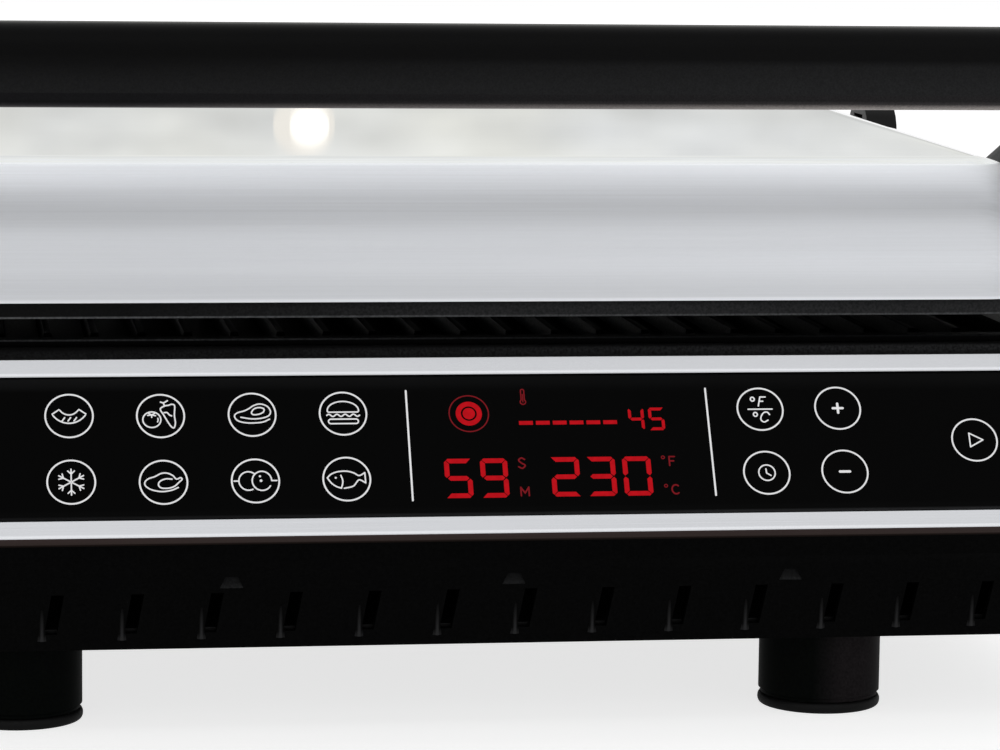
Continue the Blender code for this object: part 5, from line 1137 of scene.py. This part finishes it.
@dataclass
class Lid:
    """The pressed steel lid shell, drawn finely enough for its rolled edge to carry a highlight."""

    half_width: float = 185.0 * MM
    front: float = -128.0 * MM
    depth: float = 262.0 * MM
    rim: float = 115.09 * MM
    face: float = 12.9 * MM
    draft: float = 1.0 * MM
    bend: float = 25.0 * MM
    corner: float = 30.0 * MM
    wall: float = 1.2 * MM
    rise: float = radians(0.8)
    corner_steps: int = 12
    bend_steps: int = 24
    deck_scales: Triple = (0.985, 0.7, 0.35)
    crisp: float = 40.0

    def ring(self, inset: float, height: float, scale: float = 1.0) -> np.ndarray:
        """Return one loop of the skin, lifted towards the rear by its share of the lid's height."""
        half_depth = self.depth / 2
        loop = scale * rounded_rectangle(
            self.half_width - inset, half_depth - inset, self.corner - inset, self.corner_steps)
        y = loop[:, 1] + self.front + half_depth
        share = height / (self.face + self.bend)
        z = self.rim + height + tan(self.rise) * share * (y - self.front)
        return np.stack([loop[:, 0], y, z], -1)

    def skin(self, wall: float) -> list[np.ndarray]:
        """Return the loops of one skin from the rim to the middle of the deck."""
        bend = self.bend - wall
        loops = [self.ring(wall, 0.0), self.ring(wall + self.draft * 0.5, self.face * 0.5),
                 self.ring(wall + self.draft, self.face)]
        for turn in np.linspace(0, pi / 2, self.bend_steps + 1)[1:]:
            loops.append(self.ring(wall + self.draft + bend * (1 - cos(turn)), self.face + bend * sin(turn)))
        for scale in self.deck_scales:
            loops.append(self.ring(wall + self.draft + bend, self.face + bend, scale))
        return loops

    def build(self) -> None:
        """Build the shell."""
        shell = Shell.of(np.stack(self.skin(self.wall)[::-1] + self.skin(0.0)))
        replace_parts(shell.piece("lid_skin", Body.LID, Finishes.ROLLED, "lid_steel", self.crisp), "lid_shell")


@dataclass
class Handle:
    """The handle bar: a deep rounded section with softened ends."""

    half_width: float = 186.4 * MM
    front: float = -158.0 * MM
    low: float = 169.59 * MM
    depth: float = 21.0 * MM
    height: float = 22.4 * MM
    radius: float = 6.0 * MM
    end_radius: float = 0.8 * MM
    crisp: float = 50.0
    edge_facing: float = -0.25

    def build(self) -> None:
        """Build the bar as sections along x that shrink slightly into each end."""
        turn = np.linspace(0, pi / 2, 5)
        inset = self.end_radius * (1 - np.cos(turn))
        reach = self.half_width - self.end_radius * (1 - np.sin(turn))
        x = np.concatenate([-reach[::-1], reach])
        shrink = np.concatenate([inset[::-1], inset])
        rings = []
        for place, cut in zip(x, shrink):
            loop = rounded_rectangle(self.depth / 2 - cut, self.height / 2 - cut, self.radius - cut, 10)
            rings.append(np.column_stack([
                np.full(len(loop), place), loop[:, 0] + self.front + self.depth / 2,
                loop[:, 1] + self.low + self.height / 2]))
        shell = Shell.of(np.stack(rings))
        grip = shell.piece("handle_grip", Body.LID, Finishes.HANDLE, "satin_black", self.crisp)
        # The front faces that look down get the second finish, which paints a highlight along the low edge.
        grip.data.materials.append(Finishes.HANDLE_EDGE.build())
        for face in grip.data.polygons:
            if face.normal.z < self.edge_facing and face.center.y < self.front + self.radius:
                face.material_index = 1
        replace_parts(grip, "handle_bar")


@dataclass
class Feet:
    """Four round stubs with a groove, each on a soft pad with a ribbed underside."""

    places: tuple[tuple[str, float, float], ...] = (
        ("front_left", -112.5 * MM, -124.5 * MM), ("front_right", 112.5 * MM, -124.5 * MM),
        ("rear_left", -112.5 * MM, 100.0 * MM), ("rear_right", 112.5 * MM, 100.0 * MM))
    radius: float = 17.1 * MM
    groove: float = 0.6 * MM
    top: float = 25.7 * MM
    pad_radius: float = 17.3 * MM
    pad_height: float = 2.9 * MM
    pad_round: float = 0.9 * MM
    pole: float = 0.5 * MM
    edge: float = 0.35 * MM
    seat: float = 0.3 * MM
    sole_rings: Triple = (0.35, 0.55, 0.75)

    def stub(self) -> np.ndarray:
        """Return the stub's profile: a straight side that steps in to a groove over the pad."""
        low, edge, waist = self.pad_height + self.seat, self.edge, self.radius - self.groove
        return np.array([
            (self.pole, low), (waist, low), (waist, low + self.groove),
            (self.radius - edge, low + 1.6 * self.groove), (self.radius, low + 2.1 * self.groove),
            (self.radius, self.top - edge), (self.radius - edge, self.top), (self.pole, self.top)])

    def pad(self) -> np.ndarray:
        """Return the pad's profile: a half-round side over a flat, ringed sole."""
        turn = np.linspace(-pi / 2, pi / 2, 13)
        side = np.stack([self.pad_radius - self.pad_round + self.pad_round * np.cos(turn),
                         self.pad_height / 2 * (1 + np.sin(turn))], -1)
        sole, ring = [(self.pole, 0.0)], self.edge
        for share in self.sole_rings:
            middle = self.pad_radius * share
            sole += [(middle - 2 * ring, 0.0), (middle - ring, ring), (middle + ring, ring),
                     (middle + 2 * ring, 0.0)]
        return np.vstack([np.array(sole), side, [(self.pole, self.pad_height)]])

    def build(self) -> None:
        """Build the stubs and the pads."""
        for name, x, y in self.places:
            for kind, profile, finish, slot in (
                ("stub", self.stub(), Finishes.FOOT, "black_plastic"),
                ("pad", self.pad(), Finishes.RUBBER, "rubber"),
            ):
                shell = Shell.of(turned(profile, (x, y, 0.0), Axis.Z, 64))
                node = f"foot_{name}" if kind == "stub" else f"foot_pad_{name}"
                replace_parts(shell.piece(f"{kind}_{name}", Body.ROOT, finish, slot), node)


@dataclass
class Fasteners:
    """The handle's socket-head bolts and the cross-head screws of the bottom cover."""

    bolts: tuple[str, ...] = tuple(
        f"handle_bolt_{row}_{side}" for row in ("front", "rear") for side in ("left", "right"))
    screws: tuple[str, ...] = tuple(f"bottom_screw_{i}" for i in range(1, 5))
    bolt_radius: float = 2.2 * MM
    bolt_head: Pair = (4.4 * MM, 2.3 * MM)
    socket: float = 1.9 * MM
    screw_radius: float = 1.5 * MM
    screw_head: Pair = (3.4 * MM, 2.0 * MM)
    cross: Pair = (2.1 * MM, 0.5 * MM)
    chamfer: float = 0.35 * MM
    corners: int = 96

    def angles(self) -> np.ndarray:
        """Return the angles of a ring's corners."""
        return np.linspace(0, 2 * pi, self.corners, endpoint=False)

    def hexagon(self) -> np.ndarray:
        """Return a hexagon's radius over its inner circle's, for each corner of a ring."""
        return 1 / np.cos((self.angles() + pi / 6) % (pi / 3) - pi / 6)

    def plus(self) -> np.ndarray:
        """Return a plus sign's radius over its arm's length, for each corner of a ring."""
        across, up = np.abs(np.cos(self.angles())) + 1e-6, np.abs(np.sin(self.angles())) + 1e-6
        narrow = self.cross[1] / self.cross[0]
        return np.maximum(np.minimum(1 / across, narrow / up), np.minimum(1 / up, narrow / across))

    def add(self, shell: Shell, outside: list[Pair], recess: list[Pair],
            shape: np.ndarray, centre: Triple, axis: Axis) -> None:
        """Add one fastener: a round outside, then a recess whose rings take another shape."""
        profile = np.array(outside + recess)
        ripple = np.ones((len(profile), self.corners))
        ripple[len(outside):] = shape
        shell.add_rings(turned(profile, centre, axis, self.corners, ripple))

    def build(self) -> None:
        """Build each fastener inside the box of its node."""
        for node in self.bolts:
            self.build_bolt(node)
        for node in self.screws:
            self.build_screw(node)

    def build_bolt(self, node: str) -> None:
        """Build a bolt along x whose head looks outwards."""
        low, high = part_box(node)
        side = 1 if low.x + high.x > 0 else -1
        tip, face = (low.x, high.x) if side > 0 else (high.x, low.x)
        radius, tall = self.bolt_head
        seat, c = face - side * tall, side * self.chamfer
        outside = [(0.2 * MM, tip), (self.bolt_radius - self.chamfer, tip), (self.bolt_radius, tip + c),
                   (self.bolt_radius, seat), (radius, seat), (radius, face - c), (radius - self.chamfer, face),
                   (self.socket * 1.2, face)]
        recess = [(self.socket, face - c / 2), (self.socket, face - side * tall * 0.7),
                  (0.2 * MM, face - side * tall * 0.75)]
        shell = Shell()
        centre = (0.0, (low.y + high.y) / 2, (low.z + high.z) / 2)
        self.add(shell, outside, recess, self.hexagon(), centre, Axis.X)
        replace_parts(shell.piece(f"{node}_socket", Body.LID, Finishes.BRIGHT, "bright_steel"), node)

    def build_screw(self, node: str) -> None:
        """Build a screw along z whose domed head looks down."""
        low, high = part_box(node)
        radius, tall = self.screw_head
        face, seat = low.z, low.z + tall
        outside = [(0.2 * MM, high.z), (self.screw_radius, high.z - self.screw_radius),
                   (self.screw_radius, seat), (radius, seat), (radius, seat - tall * 0.4),
                   (radius * 0.93, seat - tall * 0.75), (radius * 0.75, face), (self.cross[0] * 1.1, face)]
        recess = [(self.cross[0], face), (self.cross[0] * 0.8, face + tall * 0.5),
                  (0.1 * MM, face + tall * 0.6)]
        shell = Shell()
        centre = ((low.x + high.x) / 2, (low.y + high.y) / 2, 0.0)
        self.add(shell, outside, recess, self.plus(), centre, Axis.Z)
        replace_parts(shell.piece(f"{node}_cross", Body.ROOT, Finishes.BRIGHT, "bright_steel"), node)


@dataclass(frozen=True)
class Skirt:
    """The leaning front skirt: finds the fins that stand on it and the catch windows cut into it."""

    toe: float = -148.0 * MM
    low: float = 23.3 * MM
    lean: float = 3.3 / 23.7
    skin: float = 0.04 * MM
    fins: Pair = (25.9 * MM, 34.9 * MM)
    catches: Pair = (40.05 * MM, 43.35 * MM)
    catch_depth: float = 1.3 * MM
    side: float = 190.0 * MM
    back: float = 120.0 * MM
    deck: float = 101.5 * MM
    facing: float = 0.5

    def mark(self, mesh: bpy.types.Mesh) -> None:
        """Give the fins and the catch windows the finishes that paint highlights and light on them, and the
        ends, back and deck the moulded one.
        """
        for finish in (Finishes.FIN, Finishes.CATCH, Finishes.MOULDED):
            mesh.materials.append(finish.build())
        for face in mesh.polygons:
            height = face.center.z
            reach = face.center.y - self.toe + self.lean * (height - self.low)
            on_fin = self.fins[0] < height < self.fins[1] and -self.catch_depth < reach < -self.skin
            in_catch = self.catches[0] < height < self.catches[1] and self.skin < reach < self.catch_depth
            end = abs(face.center.x) > self.side and abs(face.normal.x) > self.facing
            rear = face.center.y > self.back and face.normal.y > self.facing
            deck = height > self.deck and face.normal.z > self.facing
            if on_fin:
                face.material_index = 1
            elif in_catch:
                face.material_index = 2
            elif end or rear or deck:
                face.material_index = 3


@dataclass
class DressedNodes:
    """CAD pieces whose shape is right: each is copied, merged, softened along its edges and given a finish."""

    nodes: dict[str, bpy.types.Object]
    bodies: dict[str, str]
    slots: dict[str, str]
    skirt: Skirt = field(default_factory=Skirt)
    merge: float = 0.002 * MM
    edge: float = 0.3 * MM
    press: float = 4.5 * MM
    crisp: float = radians(32)
    flat: float = radians(0.4)

    def finish_of(self, node: str) -> Finish:
        """Return the finish for a CAD piece from its material slot."""
        by_slot = {
            "black_plastic": Finishes.MOULDED, "satin_black": Finishes.SATIN, "circuit_board": Finishes.BOARD,
            "display": Finishes.LED_DIM, "cast_plate": Finishes.CAST, "element": Finishes.ELEMENT,
            "reflector": Finishes.REFLECTOR, "sensor": Finishes.BRASS, "rubber": Finishes.RUBBER,
            "bright_steel": Finishes.BRIGHT,
        }
        by_node = {"lid_frame": Finishes.FRAME, "base_housing": Finishes.HOUSING, "lower_plate": Finishes.PLATE}
        return by_node.get(node) or by_slot[self.slots[node]]

    def copy(self, node: str) -> bpy.types.Object:
        """Put a merged copy of a node in its place, with the node's finish."""
        mesh = self.nodes[node].data.copy()
        mesh.name = f"{node}_skin"
        bm = bmesh.new()
        bm.from_mesh(mesh)
        bmesh.ops.remove_doubles(bm, verts=bm.verts, dist=self.merge)
        bmesh.ops.dissolve_limit(bm, angle_limit=self.flat, verts=bm.verts, edges=bm.edges)
        bm.to_mesh(mesh)
        bm.free()
        mesh.materials.clear()
        mesh.materials.append(self.finish_of(node).build())
        if node == "base_housing":
            self.skirt.mark(mesh)
        mesh.shade_smooth()
        mesh.set_sharp_from_angle(angle=self.crisp)
        made = put(f"{node}_skin", mesh)
        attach(made, self.bodies[node])
        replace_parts(made, node)
        return made

    def soften(self, node: str) -> None:
        """Build the merged copy of a node with small round edges."""
        bevel = self.copy(node).modifiers.new("soft_edges", "BEVEL")
        bevel.width = self.edge
        bevel.segments = 2
        bevel.limit_method = "ANGLE"
        bevel.angle_limit = self.crisp
        bevel.harden_normals = True
        bevel.use_clamp_overlap = True
        LOG.info("%s: softened", node)

    def squeeze(self, node: str) -> None:
        """Put a merged copy of a release spring in its place, with a mesh of its own."""
        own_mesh(self.copy(node))

    def repaint(self, node: str) -> None:
        """Give a node that stays its finish."""
        mesh = self.nodes[node].data
        for i in range(len(mesh.materials)):
            mesh.materials[i] = self.finish_of(node).build()
        LOG.info("%s: repainted", node)

    def build(self) -> None:
        """Soften or repaint every node that no fine surface has replaced."""
        keep = {"lower_heating_element", "upper_heating_element", "hinge_shaft", "led_display"}
        springs = {"lower_release_spring": "lower_release_press", "upper_release_spring": "upper_release_press"}
        for node in sorted(self.nodes):
            if self.nodes[node].hide_render:
                continue
            if node in springs:
                self.squeeze(node)
            elif node in keep:
                self.repaint(node)
            else:
                self.soften(node)


def upright(low: Vector, high: Vector) -> list[Triple]:
    """Return the corners of an upright rectangle between two of them."""
    return [(low.x, low.y, low.z), (high.x, low.y, low.z), (high.x, high.y, high.z), (low.x, high.y, high.z)]


@dataclass
class Studio:
    """The camera, the lamps, the pale floor and the white surround."""

    camera_place: Triple = (-129.96 * MM, -1145.08 * MM, 228.23 * MM)
    right: Triple = (0.98952, -0.14393, 0.0116)
    down: Triple = (-0.00716, -0.12919, -0.99159)
    forward: Triple = (0.14422, 0.98112, -0.12887)
    lens: float = 134.98
    surround: float = 1.0
    ambient: float = 0.55
    floor_light: float = 0.45
    floor_seen: float = 0.75
    floor_half: float = 6.0
    floor_tone: Colour = (0.55, 0.55, 0.55)
    patch_flatness: float = 5.0
    patch_tones: tuple[Colour, Colour] = ((1.0, 1.0, 0.93), (0.97, 0.985, 0.98))
    rise_span: Pair = (0.015, 0.09)
    warm: Colour = (1.0, 0.96, 0.88)

    def build_camera(self) -> None:
        """Place the camera where the photo was taken from."""
        data = bpy.data.cameras.new("camera")
        data.lens = self.lens
        data.sensor_width = 36.0
        camera = put("camera", data)
        turn = Matrix((self.right, [-d for d in self.down], [-f for f in self.forward])).transposed()
        camera.matrix_world = Matrix.Translation(self.camera_place) @ turn.to_4x4()
        bpy.context.scene.camera = camera

    def build_world(self) -> None:
        """Show a white surround to the camera and to reflections, and a softer one to rough surfaces."""
        world = bpy.data.worlds.new("surround")
        bpy.context.scene.world = world
        tree = Nodes(world)
        tree.nodes.clear()
        rays = tree.nodes.new("ShaderNodeLightPath").outputs
        seen = tree.total(rays["Is Camera Ray"], rays["Is Glossy Ray"], "MAXIMUM")
        clear = tree.total(seen, rays["Is Transmission Ray"], "MAXIMUM")
        strength = tree.span(clear, self.ambient, self.surround, 0.0, 1.0)
        light = tree.node("Background", "Background", {"Color": WHITE, "Strength": strength})
        output = tree.nodes.new("ShaderNodeOutputWorld")
        tree.links.new(light, output.inputs["Surface"])

    def build_floor(self) -> None:
        """Lay a wide pale floor under the feet, a little lighter to the camera than to the grill."""
        side = self.floor_half
        mesh = bpy.data.meshes.new("floor")
        corners = [(-side, -side, 0), (side, -side, 0), (side, side, 0), (-side, side, 0)]
        mesh.from_pydata(corners, [], [(0, 1, 2, 3)])
        tree = NodeTree("pale_floor")
        tree.set(Base_Color=(*self.floor_tone, 1.0), Roughness=0.7, Specular_IOR_Level=0.1)
        tree.set(Emission_Color=WHITE)
        path = tree.nodes.new("ShaderNodeLightPath")
        light = tree.span(path.outputs["Is Camera Ray"], self.floor_light, self.floor_seen, 0.0, 1.0)
        tree.feed("Emission Strength", light)
        mesh.materials.append(tree.material)
        floor = put("floor", mesh)

    def build_lamp(self, name: str, place: Vector, target: Vector, size: Pair, watts: float) -> None:
        """Hang one soft rectangular lamp that points at a target and that no gloss mirrors."""
        data = bpy.data.lights.new(name, "AREA")
        data.shape = "RECTANGLE"
        data.size, data.size_y = size
        data.energy = watts
        lamp = put(name, data)
        lamp.location = place
        lamp.rotation_euler = (target - place).to_track_quat("-Z", "Y").to_euler()
        lamp.visible_glossy = False

    def build_card(self, name: str, low: Vector, high: Vector, shades: Pair,
                   patches: float = 0.0, rise: float = 0.0) -> None:
        """Hang an upright card that only reflections see.

        Args:
            name: The card's name.
            low: Its corner of least x and z; its y is the card's.
            high: Its corner of greatest x and z.
            shades: The darkest and the lightest light that it gives.
            patches: Soft patches per metre, or none for the lighter shade all over.
            rise: Light added from its foot to its top.
        """
        tree = NodeTree(f"{name}_light")
        tree.set(Emission_Color=WHITE, Emission_Strength=shades[1])
        if patches:
            start, end = (low.z + z for z in self.rise_span)
            spots = tree.span(tree.noise((patches, patches, patches * self.patch_flatness), 3.0), *shades)
            upward = tree.span(tree.along(Axis.Z), 0.0, rise, start, end)
            tree.feed("Emission Strength", tree.total(spots, upward))
            tone = tree.span(tree.noise((patches / 2, patches / 2, patches)), 0.0, 1.0)
            tree.feed("Emission Color", tree.mix(tone, *self.patch_tones))
        self.hang(name, upright(low, high), tree)

    def build_flag(self, name: str, low: Vector, high: Vector) -> None:
        """Hang an upright black flag that keeps the soft room light out of a narrow gap."""
        tree = NodeTree(f"{name}_cloth")
        flag = self.hang(name, upright(low, high), tree)
        flag.visible_diffuse, flag.visible_glossy = True, False

    def build_spot(self, name: str, centre: Vector, radius: float, colour: Colour, light: float) -> None:
        """Hang a round light that only reflections see."""
        tree = NodeTree(f"{name}_light")
        tree.set(Emission_Color=(*colour, 1.0), Emission_Strength=light)
        rim = oval((centre.x, centre.z), (radius, radius), 48)
        self.hang(name, [(x, centre.y, z) for x, z in rim], tree)

    def hang(self, name: str, corners: list[Triple], tree: NodeTree) -> bpy.types.Object:
        """Return a flat light made from its corners, which neither the camera nor rough surfaces see."""
        mesh = bpy.data.meshes.new(name)
        mesh.from_pydata(corners, [], [tuple(range(len(corners)))])
        tree.set(Base_Color=BLACK, Specular_IOR_Level=0.0, Roughness=1.0)
        mesh.materials.append(tree.material)
        card = put(name, mesh)
        card.visible_camera = card.visible_diffuse = card.visible_shadow = False
        card.visible_transmission = card.visible_volume_scatter = False
        return card

    def build(self) -> None:
        """Build the whole studio."""
        bpy.context.scene.view_settings.view_transform = "Standard"
        self.build_camera()
        self.build_world()
        self.build_floor()
        self.build_lamp("lamp_rear", Vector((0.1, 1.1, 1.3)), Vector((0.0, 0.0, 0.1)),
                        size=(1.6, 0.8), watts=4.6)
        self.build_card("card_room", Vector((-1.6, 1.5, 0.24)), Vector((2.0, 1.5, 1.80)), shades=(0.54, 0.76),
                        patches=13.0, rise=0.24)
        self.build_flag("flag_gap", Vector((-0.21, -0.20, 0.078)), Vector((0.21, -0.20, 0.138)))
        self.build_card("card_front", Vector((-1.4, -2.0, 0.9)), Vector((1.4, -2.0, 2.4)), shades=(1.25, 1.25))
        self.build_spot("spot_glow", Vector((0.116, 1.49, 0.2905)), 0.022, self.warm, light=0.93)
        self.build_spot("spot_room", Vector((0.119, 1.48, 0.2905)), 0.014, self.warm, light=1.4)


def main() -> None:
    """Build the finishes, the pieces and the studio in order."""
    logging.basicConfig(level=logging.INFO, format="%(name)s %(message)s")
    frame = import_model()
    record = frame["record"]
    bodies = {n: body for body, members in record["behaviour"]["bodies"].items() for n in members}
    slots = {part["node"]: part["material_slot"] for part in record["subparts"]}
    ControlPanel().build()
    Lid().build()
    Handle().build()
    Feet().build()
    Fasteners().build()
    DressedNodes(frame["nodes"], bodies, slots).build()
    Studio().build()


if __name__ == "__main__":
    main()
